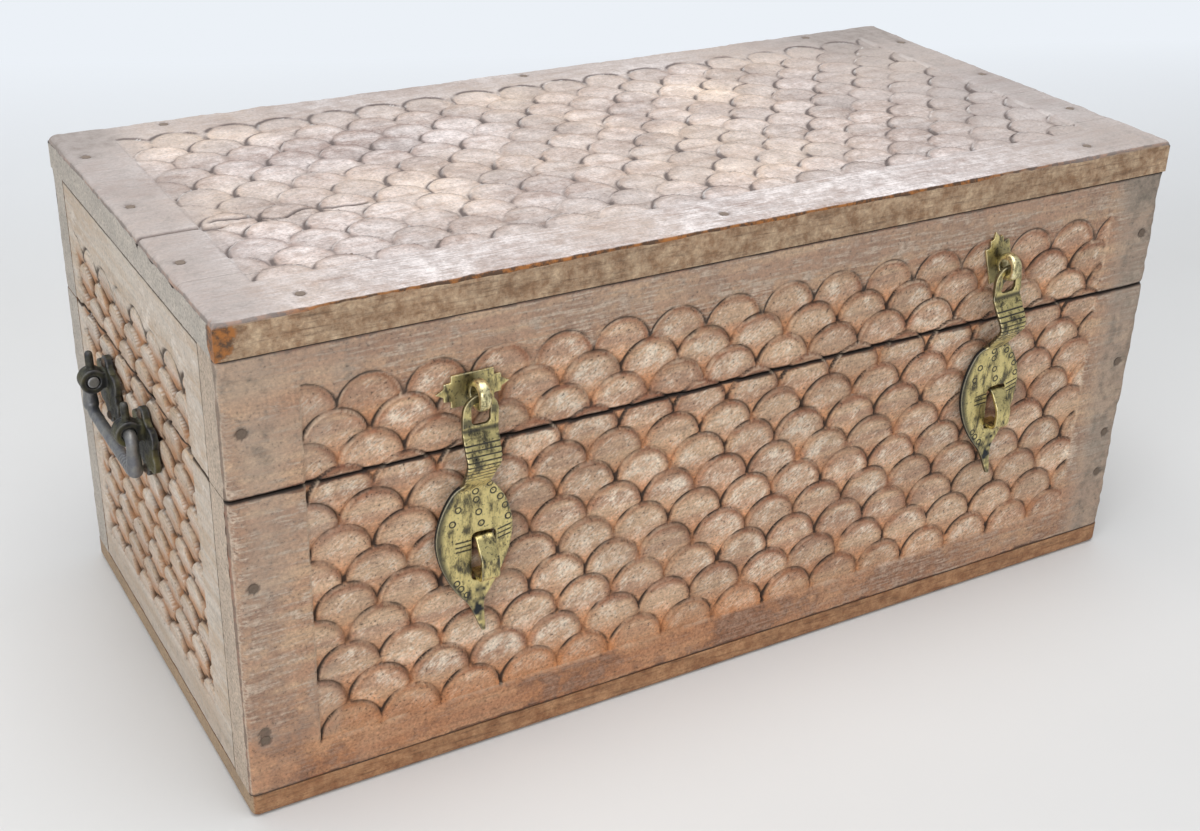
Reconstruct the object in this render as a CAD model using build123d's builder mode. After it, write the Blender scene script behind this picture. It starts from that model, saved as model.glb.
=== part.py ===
from build123d import *
import os
from math import cos, radians, sin

# A small hardwood keepsake box: nailed boards, a lid of planks on four rails, two brass
# hasps that drop over staples on the front, two butt hinges behind, and an iron bail
# handle on each end. Millimetres. X runs along the front, Y from front to back and Z up,
# with the origin in the middle of the underside. Distances called "out" are measured
# from the outer face of a wall, away from the box.

os.makedirs("parts", exist_ok=True)

# ---------------------------------------------------------------- driving dimensions
# The box and its boards
length = 457.0
depth = 223.0
board = 19.0                # walls of the box and rails of the lid
bottom_thickness = 10.5
wall_height = 135.0
seam_gap = 0.5              # air between the walls and the closed lid
rail_height = 56.0
top_thickness = 15.0
front_strip_width = 38.5
middle_plank_width = 49.0
plank_gap = 0.3             # shrinkage gap between two planks of the top
corner_round = 3.0          # worn upright corners
edge_round = 2.5            # worn edges of the top and the bottom

# Carving: rows of lapped half-round scales, each sloping in from its rim to its foot
wall_row_height = 11.8      # the top row; on the walls each row is a little taller than the last
wall_row_growth = 0.27
top_row_height = 14.8
first_scale = 0.3           # left border of a field to the middle of its first scale
scale_gap = 1.1             # between neighbours in a row
scale_land = 1.0            # how far the face's own height reaches in from the head of a rim
chip_excess = 1.0           # what is cut away is drawn this much past the face and the cut
front_scale_width = 26.8
front_scale_cut = 1.4       # depth at the foot of a scale
front_field_left = 30.0     # plain margins round a field, seen from outside
front_field_right = 30.0
front_field_foot = 16.5
front_field_head = 16.0
end_scale_width = 22.9
end_scale_cut = 2.6
end_field_front = 40.5
end_field_rear = 27.2
end_field_foot = 16.5
end_field_head = 21.0
top_scale_width = 24.2
top_scale_cut = 1.4
top_field_left = 25.2
top_field_right = 23.8
top_field_front = 28.9
top_field_rear = 19.5

# Wrought nails, sunk a little below the wood
nail_radius = 1.1
nail_length = 38.0
nail_head_radius = 1.9
nail_head_thickness = 0.9
nail_sink = 0.4
nail_point = 4.0
nail_clearance = 0.05
nail_inset = 7.6            # from the end of a board to its row of nails

# Round-headed pins that hold the metalwork
pin_nail_radius = 1.0
pin_nail_length = 16.0
pin_nail_head_radius = 2.2
pin_nail_head_height = 1.2

# Butt hinges on the back
hinge_spread = 260.0        # between the middles of the two hinges
hinge_length = 60.0
leaf_height = 24.0
leaf_thickness = 1.8
barrel_radius = 3.4
hinge_pin_radius = 1.6
hinge_pin_head_radius = 2.6
hinge_pin_head_height = 1.4
bore_clearance = 0.15
running_clearance = 0.3
knuckles = 5

# Hasps, one pattern for both, each bent and hung a little differently
hasp_spread = 261.4         # between the two ring centres
left_ring_height = 25.0     # ring centre above the lid's lower edge
right_ring_height = 28.8
left_hasp_lean = -0.8       # degrees, positive to the right
right_hasp_lean = 2.7
left_neck_swell = 12.2      # how far the neck stands out over the seam
right_neck_swell = 15.0
left_plate_turn = 0.0       # degrees
right_plate_turn = 106.0
hasp_thickness = 2.0
neck_bend = 8.0             # bends of the strip, along its middle
swell_bend = 5.0
leaf_bend = 7.0
hasp_reach = 110.0          # ring centre to the tip of the tail
eye_radius = 7.5
eye_hole_width = 8.0
eye_hole_height = 9.0
eye_hole_round = 2.0
rim_above = 0.5             # the eye's rim, above and below the ring centre
rim_below = 3.0
neck_half_width = 7.6
waist_half_width = 5.7
waist_down = 39.0
leaf_half_width = 16.8
leaf_down = 62.0            # ring centre to the widest part of the leaf
tail_half_width = 5.0
tail_down = 93.0
tail_sweep = 4.6            # the tail leans this far to the right
tip_half_width = 0.7
leaf_out = 3.0
slot_width = 10.5
slot_height = 22.0
slot_offset = 4.0
slot_down = 73.5

# Split rings and the plates under them
ring_out = 7.6
ring_radius = 6.3
ring_hole_radius = 3.7
ring_width = 5.2
ring_edge_round = 1.9
shank_radius = 2.1
shank_clearance = 0.1
clinch_length = 22.0
clinch_thickness = 1.5
plate_thickness = 1.2
plate_length = 31.0
plate_height = 13.5

# Staples
staple_width = 8.0
staple_thickness = 1.6
staple_height = 19.3
staple_out = 10.0
staple_leg = 12.0
staple_bend = 3.2
staple_clearance = 0.05

# Bail handles
handle_below_seam = 16.0    # seam to the line through the two eyes
handle_shift = 14.5         # middle of the handle, behind the middle of the end
bracket_spread = 53.0
bracket_radius = 12.5
bracket_lobe_radius = 4.6
bracket_lobe_reach = 11.1   # from the middle of the plate to the middle of a lobe
bracket_lobes = 6
bracket_thickness = 3.0
bracket_drop = 6.0          # middle of the plate, below its eye
bracket_nail_reach = 12.6   # from the middle of the plate to its nails
bracket_neck_height = 7.6
eye_out = 9.0
bracket_eye_radius = 5.6
bracket_eye_hole = 3.0
bracket_eye_width = 7.0
bud_radius = 1.7
bud_height = 8.0
bail_radius = 2.6
bail_drop = 17.2
bail_side_gap = 0.4
bail_corner = 6.0
knuckle_radius = 3.5
nub_length = 3.0
nub_radius = 2.0

# ---------------------------------------------------------------- places worked out
front_y = -depth / 2
back_y = depth / 2
end_x = length / 2
wall_top = bottom_thickness + wall_height
lid_base = wall_top + seam_gap
rail_top = lid_base + rail_height
between_walls = depth - 2 * board
out_front = (0, -1, 0)
out_back = (0, 1, 0)
up = (0, 0, 1)
down = (0, 0, -1)

# Each ring's centre across the front and above the lid's lower edge, the lean of its hasp,
# how far the neck swells out over the seam, and the turn of its plate
hasps = {
    "left": {
        "x": -hasp_spread / 2,
        "height": left_ring_height,
        "lean": left_hasp_lean,
        "swell": left_neck_swell,
        "plate_turn": left_plate_turn,
    },
    "right": {
        "x": hasp_spread / 2,
        "height": right_ring_height,
        "lean": right_hasp_lean,
        "swell": right_neck_swell,
        "plate_turn": right_plate_turn,
    },
}

# Nails: heights as shares of the wall, places along the top as shares of the half length
front_nails = {-1: (0.715, 0.24, 0.19), 1: (0.70, 0.41, 0.24)}
back_nails = (0.82, 0.5, 0.16)
rail_nail_share = 0.47
top_end_nails = (0.68, 0.09, -0.48)
top_back_nails = (-0.78, 0.02, 0.78)
top_front_nails = (-0.84, -0.05, 0.82)
top_back_inset = 6.5
top_front_inset = 12.0
bottom_wall_nails = (-0.79, -0.26, 0.26, 0.79)
bottom_end_nails = (-0.4, 0.4)


def seats(points, outward):
    """Places on a face, each with its Z axis pointing out of it."""
    return [Plane(origin=point, z_dir=outward) for point in points]


def nail_x(side):
    """The row of nails near one end of a long board."""
    return side * (end_x - nail_inset)


# ---------------------------------------------------------------- nails
front_seats = seats(
    [
        (nail_x(side), front_y, bottom_thickness + share * wall_height)
        for side in (-1, 1)
        for share in front_nails[side]
    ],
    out_front,
)
back_seats = seats(
    [
        (nail_x(side), back_y, bottom_thickness + share * wall_height)
        for side in (-1, 1)
        for share in back_nails
    ],
    out_back,
)
lid_nail_z = lid_base + rail_nail_share * rail_height
lid_front_seats = seats([(nail_x(side), front_y, lid_nail_z) for side in (-1, 1)], out_front)
lid_back_seats = seats([(nail_x(side), back_y, lid_nail_z) for side in (-1, 1)], out_back)

total_height = rail_top + top_thickness
top_end_seats = seats(
    [
        (nail_x(side), share * back_y, total_height)
        for side in (-1, 1)
        for share in top_end_nails
    ],
    up,
)
top_back_seats = seats(
    [(share * end_x, back_y - top_back_inset, total_height) for share in top_back_nails], up
)
top_front_seats = seats(
    [(share * end_x, front_y + top_front_inset, total_height) for share in top_front_nails],
    up,
)
bottom_seats = seats(
    [
        (share * end_x, side * (back_y - board / 2), 0)
        for share in bottom_wall_nails
        for side in (-1, 1)
    ]
    + [
        (side * (end_x - board / 2), share * back_y, 0)
        for side in (-1, 1)
        for share in bottom_end_nails
    ],
    down,
)

with BuildPart() as nail:
    with BuildSketch(Plane.XZ):
        with BuildLine():
            Polyline(
                (0, -nail_sink),
                (nail_head_radius, -nail_sink),
                (nail_head_radius, -nail_sink - nail_head_thickness),
                (nail_radius, -nail_sink - nail_head_thickness),
                (nail_radius, nail_point - nail_length),
                (0, -nail_length),
                close=True,
            )
        make_face()
    revolve(axis=Axis.Z)

with BuildPart() as pin_nail:
    with BuildSketch(Plane.XZ):
        with BuildLine():
            ThreePointArc(
                (0, pin_nail_head_height),
                (0.75 * pin_nail_head_radius, 0.6 * pin_nail_head_height),
                (pin_nail_head_radius, 0),
            )
            Polyline(
                (pin_nail_head_radius, 0),
                (pin_nail_radius, 0),
                (pin_nail_radius, nail_point - pin_nail_length),
                (0, -pin_nail_length),
                (0, pin_nail_head_height),
            )
        make_face()
    revolve(axis=Axis.Z)


def nail_pockets(places):
    """Bores for sunk nails, with a pocket for each head, in the part being built."""
    with Locations(*places):
        CounterBoreHole(
            nail_radius + nail_clearance,
            nail_head_radius + nail_clearance,
            nail_sink + nail_head_thickness,
            nail_length + nail_clearance,
        )


def nail_bores(places, radius=nail_radius, bore_depth=nail_length):
    """Bores where nails run on into the part being built."""
    with Locations(*places):
        Hole(radius + nail_clearance, bore_depth + nail_clearance)


def export_nails(name, shape, places):
    """A group of like nails, one solid for each place."""
    with BuildPart() as group:
        with Locations(*places):
            add(shape.part)
    group.part.label = name
    export_step(group.part, f"parts/{name}.step")


export_nails("wall_nails", nail, front_seats + back_seats)
export_nails("lid_corner_nails", nail, lid_front_seats + lid_back_seats)
export_nails("top_nails", nail, top_end_seats + top_back_seats + top_front_seats)
export_nails("bottom_nails", nail, bottom_seats)

# ---------------------------------------------------------------- hinge places
# The axis lies level with the middle of the seam, clear of the back by the running gap.
axis_out = barrel_radius + running_clearance
hinge_y = back_y + axis_out
hinge_z = wall_top + seam_gap / 2
hinge_middles = {"left": -hinge_spread / 2, "right": hinge_spread / 2}
knuckle_pitch = hinge_length / knuckles
leaf_start = barrel_radius + running_clearance   # leaf plates begin this far from the axis
leaf_nail_distance = leaf_start + 0.6 * (leaf_height - leaf_start)
leaf_nail_spacing = 0.36 * hinge_length


def hinge_nail_points(x_middle, side, out=0.0):
    """Nail places on a hinge leaf: side is -1 for the box's leaf and 1 for the lid's."""
    z = hinge_z + side * leaf_nail_distance
    return [(x_middle + step * leaf_nail_spacing, back_y + out, z) for step in (-1, 0, 1)]


def all_hinge_seats(side, out=0.0):
    points = []
    for x_middle in hinge_middles.values():
        points += hinge_nail_points(x_middle, side, out)
    return seats(points, out_back)


# ---------------------------------------------------------------- handle places
eye_z = wall_top + seam_gap - handle_below_seam
plate_z = eye_z - bracket_drop
bracket_y = {
    "front": handle_shift - bracket_spread / 2,
    "rear": handle_shift + bracket_spread / 2,
}
bracket_nail_heights = (plate_z + bracket_nail_reach, plate_z - bracket_nail_reach)


def bracket_seats(side, out=0.0):
    """Nail places of both brackets on one end: side is -1 for the left end, 1 for the right."""
    points = [
        (side * (end_x + out), y, z) for y in bracket_y.values() for z in bracket_nail_heights
    ]
    return seats(points, (side, 0, 0))


# ---------------------------------------------------------------- hasp places
def hasp_face(side, turn=0.0):
    """The front of the box at one ring: X to the right, Y up, Z out, turned by some degrees."""
    place = hasps[side]
    angle = radians(turn)
    return Plane(
        origin=(place["x"], front_y, lid_base + place["height"]),
        x_dir=(cos(angle), 0, sin(angle)),
        z_dir=out_front,
    )


def side_view(face):
    """The same place seen from its side: X out of the box, Y up."""
    return Plane(origin=face.origin, x_dir=face.z_dir, z_dir=-face.x_dir)


def staple_middle(side):
    """The middle of a staple on the front, in the ring's upright face plane."""
    angle = radians(hasps[side]["lean"])
    return (
        slot_offset * cos(angle) + slot_down * sin(angle),
        slot_offset * sin(angle) - slot_down * cos(angle),
    )


# ---------------------------------------------------------------- carved scales
# Each face: its plane, the left, right, lower and upper borders of its field on that plane,
# the width and cut of its scales, and the height of its first row with the growth per row
front_carving = {
    "face": Plane(origin=(0, front_y, 0), x_dir=(1, 0, 0), z_dir=out_front),
    "left": front_field_left - end_x,
    "right": end_x - front_field_right,
    "foot": bottom_thickness + front_field_foot,
    "head": rail_top - front_field_head,
    "width": front_scale_width,
    "cut": front_scale_cut,
    "row": (wall_row_height, wall_row_growth),
}
top_carving = {
    "face": Plane(origin=(0, 0, rail_top + top_thickness), x_dir=(1, 0, 0), z_dir=up),
    "left": top_field_left - end_x,
    "right": end_x - top_field_right,
    "foot": front_y + top_field_front,
    "head": back_y - top_field_rear,
    "width": top_scale_width,
    "cut": top_scale_cut,
    "row": (top_row_height, 0.0),
}


def end_carving(side):
    """The carving of one end, where front and rear change hands from end to end."""
    front_border = front_y + end_field_front
    rear_border = back_y - end_field_rear
    return {
        "face": Plane(origin=(side * end_x, 0, 0), x_dir=(0, side, 0), z_dir=(side, 0, 0)),
        "left": min(side * front_border, side * rear_border),
        "right": max(side * front_border, side * rear_border),
        "foot": bottom_thickness + end_field_foot,
        "head": rail_top - end_field_head,
        "width": end_scale_width,
        "cut": end_scale_cut,
        "row": (wall_row_height, wall_row_growth),
    }


def scale_chips(carving):
    """What the carver takes out of a face: all that stands over the scales of its field.
    The rim of a scale is a half circle that keeps a small land at the height of the face, and
    the scales of the next rows rise over its foot."""
    face, width, cut = carving["face"], carving["width"], carving["cut"]
    radius = (width - scale_gap) / 2
    field_width = carving["right"] - carving["left"]
    middle = (carving["left"] + carving["right"]) / 2
    height, growth = carving["row"]
    head = carving["head"]

    def centres(number, head):
        """Middles of one row of scales: every other row is shifted by half a scale."""
        start = carving["left"] + first_scale - (number % 2) * width / 2
        return [(start + width * step, head - radius) for step in range(int(field_width / width) + 2)]

    def keep_field():
        """Cuts a sketch off at the left, right and lower borders of the field."""
        with Locations((middle, carving["foot"])):
            Rectangle(
                field_width,
                carving["head"] + radius - carving["foot"],
                align=(Align.CENTER, Align.MIN),
                mode=Mode.INTERSECT,
            )

    with BuildPart() as chips:
        with BuildSketch(face.offset(chip_excess)):
            with Locations(*centres(0, carving["head"])):
                Circle(radius + scale_gap / 4)
            with Locations((middle, carving["foot"])):
                Rectangle(
                    field_width,
                    head - height - scale_land / 2 - carving["foot"],
                    align=(Align.CENTER, Align.MIN),
                )
            keep_field()
        extrude(amount=-chip_excess - cut)
    number = 0
    while head > carving["foot"]:
        with BuildPart() as scales:
            with BuildSketch(face):
                with Locations(*centres(number, head)):
                    Circle(radius)
                keep_field()
            extrude(amount=-cut - chip_excess)
            fall = (2 * height + growth) * face.y_dir + cut * face.z_dir
            slope = Plane(
                origin=face.from_local_coords((middle, head - scale_land, 0)),
                x_dir=face.x_dir,
                z_dir=face.x_dir.cross(fall),
            )
            split(bisect_by=slope, keep=Keep.BOTTOM)
        with chips:
            add(scales.part, mode=Mode.SUBTRACT)
        head -= height
        height += growth
        number += 1
    return chips.part


front_chips = scale_chips(front_carving)
top_chips = scale_chips(top_carving)

# ---------------------------------------------------------------- bottom board
with BuildPart() as bottom_board:
    with BuildSketch(Plane.XY):
        Rectangle(length, depth)
    extrude(amount=bottom_thickness)
    fillet(bottom_board.edges().filter_by(Axis.Z), corner_round)
    fillet(bottom_board.faces().sort_by(Axis.Z)[0].edges(), edge_round)
    nail_pockets(bottom_seats)
bottom_board.part.label = "bottom_board"
export_step(bottom_board.part, "parts/bottom_board.step")

# ---------------------------------------------------------------- front and back boards
leg_offset = (staple_height - staple_thickness) / 2

with BuildPart() as front_board:
    with BuildSketch(Plane.XY.offset(bottom_thickness)):
        with Locations((0, front_y + board / 2)):
            Rectangle(length, board)
    extrude(amount=wall_height)
    fillet(front_board.edges().filter_by(Axis.Z).group_by(Axis.Y)[0], corner_round)
    nail_pockets(front_seats)
    nail_bores(bottom_seats)
    for side in hasps:
        across, above = staple_middle(side)
        with BuildSketch(hasp_face(side)):
            with Locations((across, above - leg_offset), (across, above + leg_offset)):
                Rectangle(
                    staple_width + 2 * staple_clearance, staple_thickness + 2 * staple_clearance
                )
        extrude(amount=-staple_leg - staple_clearance, mode=Mode.SUBTRACT)
    add(front_chips, mode=Mode.SUBTRACT)
front_board.part.label = "front_board"
export_step(front_board.part, "parts/front_board.step")

with BuildPart() as back_board:
    with BuildSketch(Plane.XY.offset(bottom_thickness)):
        with Locations((0, back_y - board / 2)):
            Rectangle(length, board)
    extrude(amount=wall_height)
    fillet(back_board.edges().filter_by(Axis.Z).group_by(Axis.Y)[-1], corner_round)
    nail_pockets(back_seats)
    nail_bores(bottom_seats)
    nail_bores(all_hinge_seats(-1), pin_nail_radius, pin_nail_length)
back_board.part.label = "back_board"
export_step(back_board.part, "parts/back_board.step")

# ---------------------------------------------------------------- end boards and lid end rails
for name, side in (("left", -1), ("right", 1)):
    end_chips = scale_chips(end_carving(side))
    with BuildPart() as end_board:
        with BuildSketch(Plane.XY.offset(bottom_thickness)):
            with Locations((side * (end_x - board / 2), 0)):
                Rectangle(board, between_walls)
        extrude(amount=wall_height)
        nail_bores(front_seats + back_seats + bottom_seats)
        nail_bores(bracket_seats(side), pin_nail_radius, pin_nail_length)
        add(end_chips, mode=Mode.SUBTRACT)
    end_board.part.label = f"{name}_end_board"
    export_step(end_board.part, f"parts/{name}_end_board.step")

    with BuildPart() as lid_end_rail:
        with BuildSketch(Plane.XY.offset(lid_base)):
            with Locations((side * (end_x - board / 2), 0)):
                Rectangle(board, between_walls)
        extrude(amount=rail_height)
        nail_bores(lid_front_seats + lid_back_seats + top_end_seats)
        add(end_chips, mode=Mode.SUBTRACT)
    lid_end_rail.part.label = f"lid_{name}_rail"
    export_step(lid_end_rail.part, f"parts/lid_{name}_rail.step")

# ---------------------------------------------------------------- lid front and back rails
with BuildPart() as lid_front_rail:
    with BuildSketch(Plane.XY.offset(lid_base)):
        with Locations((0, front_y + board / 2)):
            Rectangle(length, board)
    extrude(amount=rail_height)
    fillet(lid_front_rail.edges().filter_by(Axis.Z).group_by(Axis.Y)[0], corner_round)
    nail_pockets(lid_front_seats)
    nail_bores(top_front_seats)
    for side in hasps:
        with Locations(hasp_face(side)):
            Hole(shank_radius + shank_clearance, board)
    add(front_chips, mode=Mode.SUBTRACT)
lid_front_rail.part.label = "lid_front_rail"
export_step(lid_front_rail.part, "parts/lid_front_rail.step")

with BuildPart() as lid_back_rail:
    with BuildSketch(Plane.XY.offset(lid_base)):
        with Locations((0, back_y - board / 2)):
            Rectangle(length, board)
    extrude(amount=rail_height)
    fillet(lid_back_rail.edges().filter_by(Axis.Z).group_by(Axis.Y)[-1], corner_round)
    nail_pockets(lid_back_seats)
    nail_bores(top_back_seats)
    nail_bores(all_hinge_seats(1), pin_nail_radius, pin_nail_length)
lid_back_rail.part.label = "lid_back_rail"
export_step(lid_back_rail.part, "parts/lid_back_rail.step")

# ---------------------------------------------------------------- planks of the top
middle_start = front_y + front_strip_width
back_start = middle_start + middle_plank_width

with BuildPart() as top_front_strip:
    with BuildSketch(Plane.XY.offset(rail_top)):
        with Locations((0, front_y)):
            Rectangle(length, front_strip_width, align=(Align.CENTER, Align.MIN))
    extrude(amount=top_thickness)
    fillet(top_front_strip.edges().filter_by(Axis.Z).group_by(Axis.Y)[0], corner_round)
    fillet(top_front_strip.faces().sort_by(Axis.Z)[-1].edges().sort_by(Axis.Y)[:-1], edge_round)
    nail_pockets(top_front_seats)
    add(top_chips, mode=Mode.SUBTRACT)
top_front_strip.part.label = "top_front_strip"
export_step(top_front_strip.part, "parts/top_front_strip.step")

with BuildPart() as top_middle_plank:
    with BuildSketch(Plane.XY.offset(rail_top)):
        with Locations((0, middle_start + plank_gap)):
            Rectangle(
                length, middle_plank_width - plank_gap, align=(Align.CENTER, Align.MIN)
            )
    extrude(amount=top_thickness)
    top_edges = top_middle_plank.faces().sort_by(Axis.Z)[-1].edges()
    fillet(top_edges.filter_by(Axis.Y), edge_round)
    nail_pockets(top_end_seats)
    add(top_chips, mode=Mode.SUBTRACT)
top_middle_plank.part.label = "top_middle_plank"
export_step(top_middle_plank.part, "parts/top_middle_plank.step")

with BuildPart() as top_back_plank:
    with BuildSketch(Plane.XY.offset(rail_top)):
        with Locations((0, back_y)):
            Rectangle(
                length, back_y - back_start - plank_gap, align=(Align.CENTER, Align.MAX)
            )
    extrude(amount=top_thickness)
    fillet(top_back_plank.edges().filter_by(Axis.Z).group_by(Axis.Y)[-1], corner_round)
    fillet(top_back_plank.faces().sort_by(Axis.Z)[-1].edges().sort_by(Axis.Y)[1:], edge_round)
    nail_pockets(top_end_seats + top_back_seats)
    add(top_chips, mode=Mode.SUBTRACT)
top_back_plank.part.label = "top_back_plank"
export_step(top_back_plank.part, "parts/top_back_plank.step")

# ---------------------------------------------------------------- hinges
hinge_view = Plane(origin=(0, back_y, hinge_z), x_dir=(0, 1, 0), z_dir=(1, 0, 0))
hinge_back = Plane(origin=(0, back_y, hinge_z), x_dir=(-1, 0, 0), z_dir=out_back)


def export_hinge_leaf(name, x_middle, side, own_knuckles):
    """A leaf: its plate, its own knuckles of the barrel and their bore."""
    start = x_middle - hinge_length / 2
    with BuildPart() as leaf:
        with BuildSketch(hinge_back):
            with Locations((-x_middle, side * (leaf_start + leaf_height) / 2)):
                Rectangle(hinge_length, leaf_height - leaf_start)
        extrude(amount=leaf_thickness)
        for index in own_knuckles:
            with BuildSketch(hinge_view.offset(start + index * knuckle_pitch)):
                with Locations((axis_out, 0)):
                    Circle(barrel_radius)
                with Locations((leaf_thickness / 2, side * leaf_start / 2)):
                    Rectangle(leaf_thickness, leaf_start)
            extrude(amount=knuckle_pitch - running_clearance)
        with BuildSketch(hinge_view.offset(start)):
            with Locations((axis_out, 0)):
                Circle(hinge_pin_radius + bore_clearance)
        extrude(amount=hinge_length, mode=Mode.SUBTRACT)
        with Locations(*seats(hinge_nail_points(x_middle, side, leaf_thickness), out_back)):
            Hole(pin_nail_radius + nail_clearance)
    leaf.part.label = name
    export_step(leaf.part, f"parts/{name}.step")


for name, x_middle in hinge_middles.items():
    export_hinge_leaf(f"hinge_box_leaf_{name}", x_middle, -1, range(0, knuckles, 2))
    export_hinge_leaf(f"hinge_lid_leaf_{name}", x_middle, 1, range(1, knuckles, 2))

    with BuildPart() as hinge_pin:
        with BuildSketch(hinge_view.offset(x_middle - hinge_length / 2)):
            with Locations((axis_out, 0)):
                Circle(hinge_pin_radius)
        extrude(amount=hinge_length - running_clearance)
        pin_ends = (
            (x_middle - hinge_length / 2, -hinge_pin_head_height),
            (x_middle + hinge_length / 2 - running_clearance, hinge_pin_head_height),
        )
        for place, head in pin_ends:
            with BuildSketch(hinge_view.offset(place)):
                with Locations((axis_out, 0)):
                    Circle(hinge_pin_head_radius)
            extrude(amount=head)
    hinge_pin.part.label = f"hinge_pin_{name}"
    export_step(hinge_pin.part, f"parts/hinge_pin_{name}.step")

export_nails("hinge_box_nails", pin_nail, all_hinge_seats(-1, leaf_thickness))
export_nails("hinge_lid_nails", pin_nail, all_hinge_seats(1, leaf_thickness))


# ---------------------------------------------------------------- hasps
def export_hasp(side):
    """A hasp cut from a bent strip: round eye, swelling neck, leaf with its slot, and tail."""
    face = hasp_face(side, hasps[side]["lean"])
    swell = hasps[side]["swell"]
    with BuildPart() as hasp:
        with BuildSketch(side_view(face)):
            with BuildLine():
                FilletPolyline(
                    (ring_out, rim_above + eye_radius),
                    (ring_out, -2 * eye_radius),
                    (swell, -0.7 * waist_down),
                    (leaf_out, -1.08 * waist_down),
                    (leaf_out, -hasp_reach - eye_radius),
                    radius=(neck_bend, swell_bend, leaf_bend),
                )
            trace(line_width=hasp_thickness)
        extrude(amount=leaf_half_width + tail_sweep, both=True)
        with BuildSketch(face):
            with BuildLine():
                eye_centre = rim_above - eye_radius
                ThreePointArc((-eye_radius, eye_centre), (0, rim_above), (eye_radius, eye_centre))
                for turn in (-1, 1):
                    waist = (turn * waist_half_width, -waist_down)
                    Spline(
                        (turn * eye_radius, eye_centre),
                        (turn * neck_half_width, eye_centre - 0.3 * waist_down),
                        waist,
                    )
                    leaf_side = Spline(
                        waist,
                        (turn * 0.75 * leaf_half_width, -0.77 * leaf_down),
                        (turn * leaf_half_width, -leaf_down),
                        (turn * 0.82 * leaf_half_width, -(leaf_down + tail_down) / 2),
                        (turn * tail_half_width + 0.12 * tail_sweep, -tail_down),
                    )
                    tip = Vector(turn * tip_half_width + tail_sweep, -hasp_reach)
                    Spline(
                        leaf_side @ 1, tip, tangents=(leaf_side % 1, tip - leaf_side @ 1)
                    )
                Line(
                    (tail_sweep - tip_half_width, -hasp_reach),
                    (tail_sweep + tip_half_width, -hasp_reach),
                )
            make_face()
            with Locations((0, -rim_below - eye_hole_height / 2)):
                RectangleRounded(
                    eye_hole_width, eye_hole_height, eye_hole_round, mode=Mode.SUBTRACT
                )
            with Locations((slot_offset, -slot_down)):
                RectangleRounded(slot_width, slot_height, 0.2 * slot_width, mode=Mode.SUBTRACT)
        extrude(amount=swell + ring_out, mode=Mode.INTERSECT)
    hasp.part.label = f"hasp_{side}"
    export_step(hasp.part, f"parts/hasp_{side}.step")


def export_ring(side):
    """A split ring: a broad half-round eye and a shank clinched inside the lid."""
    face = hasp_face(side)
    band_middle = ring_out - (ring_radius + ring_hole_radius) / 2
    with BuildPart() as ring:
        with BuildSketch(side_view(face)):
            with Locations((ring_out, 0)):
                Circle(ring_radius)
        extrude(amount=ring_width / 2, both=True)
        fillet(ring.edges(), ring_edge_round)
        with BuildSketch(face.offset(band_middle)):
            Circle(shank_radius)
        extrude(amount=-band_middle - board)
        with BuildSketch(face.offset(-board)):
            SlotOverall(clinch_length, 2 * shank_radius, rotation=90)
        extrude(amount=-clinch_thickness)
        with BuildSketch(side_view(face)):
            with Locations((ring_out, 0)):
                Circle(ring_hole_radius)
        extrude(amount=ring_width, both=True, mode=Mode.SUBTRACT)
    ring.part.label = f"hasp_ring_{side}"
    export_step(ring.part, f"parts/hasp_ring_{side}.step")


def export_plate(side):
    """A stepped plate under a ring, with a point at each end."""
    with BuildPart() as plate:
        with BuildSketch(hasp_face(side, hasps[side]["plate_turn"])):
            Rectangle(0.58 * plate_length, plate_height)
            Rectangle(0.78 * plate_length, 0.56 * plate_height)
            with BuildLine():
                half_length = plate_length / 2
                half_point = 0.18 * plate_height
                Polyline(
                    (half_length, 0),
                    (0.70 * half_length, half_point),
                    (-0.70 * half_length, half_point),
                    (-half_length, 0),
                    (-0.70 * half_length, -half_point),
                    (0.70 * half_length, -half_point),
                    close=True,
                )
            make_face()
            Circle(shank_radius + shank_clearance, mode=Mode.SUBTRACT)
        extrude(amount=plate_thickness)
    plate.part.label = f"hasp_plate_{side}"
    export_step(plate.part, f"parts/hasp_plate_{side}.step")


def export_staple(side):
    """A staple: a strip bent to an upright loop, with both legs driven into the wall."""
    face = hasp_face(side)
    across, above = staple_middle(side)
    with BuildPart() as staple:
        with BuildSketch(side_view(face).offset(-across)):
            with BuildLine():
                FilletPolyline(
                    (-staple_leg, above + leg_offset),
                    (leaf_out + staple_thickness, above + leg_offset),
                    (staple_out, above + 0.05 * staple_height),
                    (staple_out, above - leg_offset),
                    (-staple_leg, above - leg_offset),
                    radius=(2 * staple_thickness, 4 * staple_thickness, staple_bend),
                )
            trace(line_width=staple_thickness)
        extrude(amount=staple_width / 2, both=True)
    staple.part.label = f"staple_{side}"
    export_step(staple.part, f"parts/staple_{side}.step")


for side in hasps:
    export_hasp(side)
    export_ring(side)
    export_plate(side)
    export_staple(side)


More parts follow.
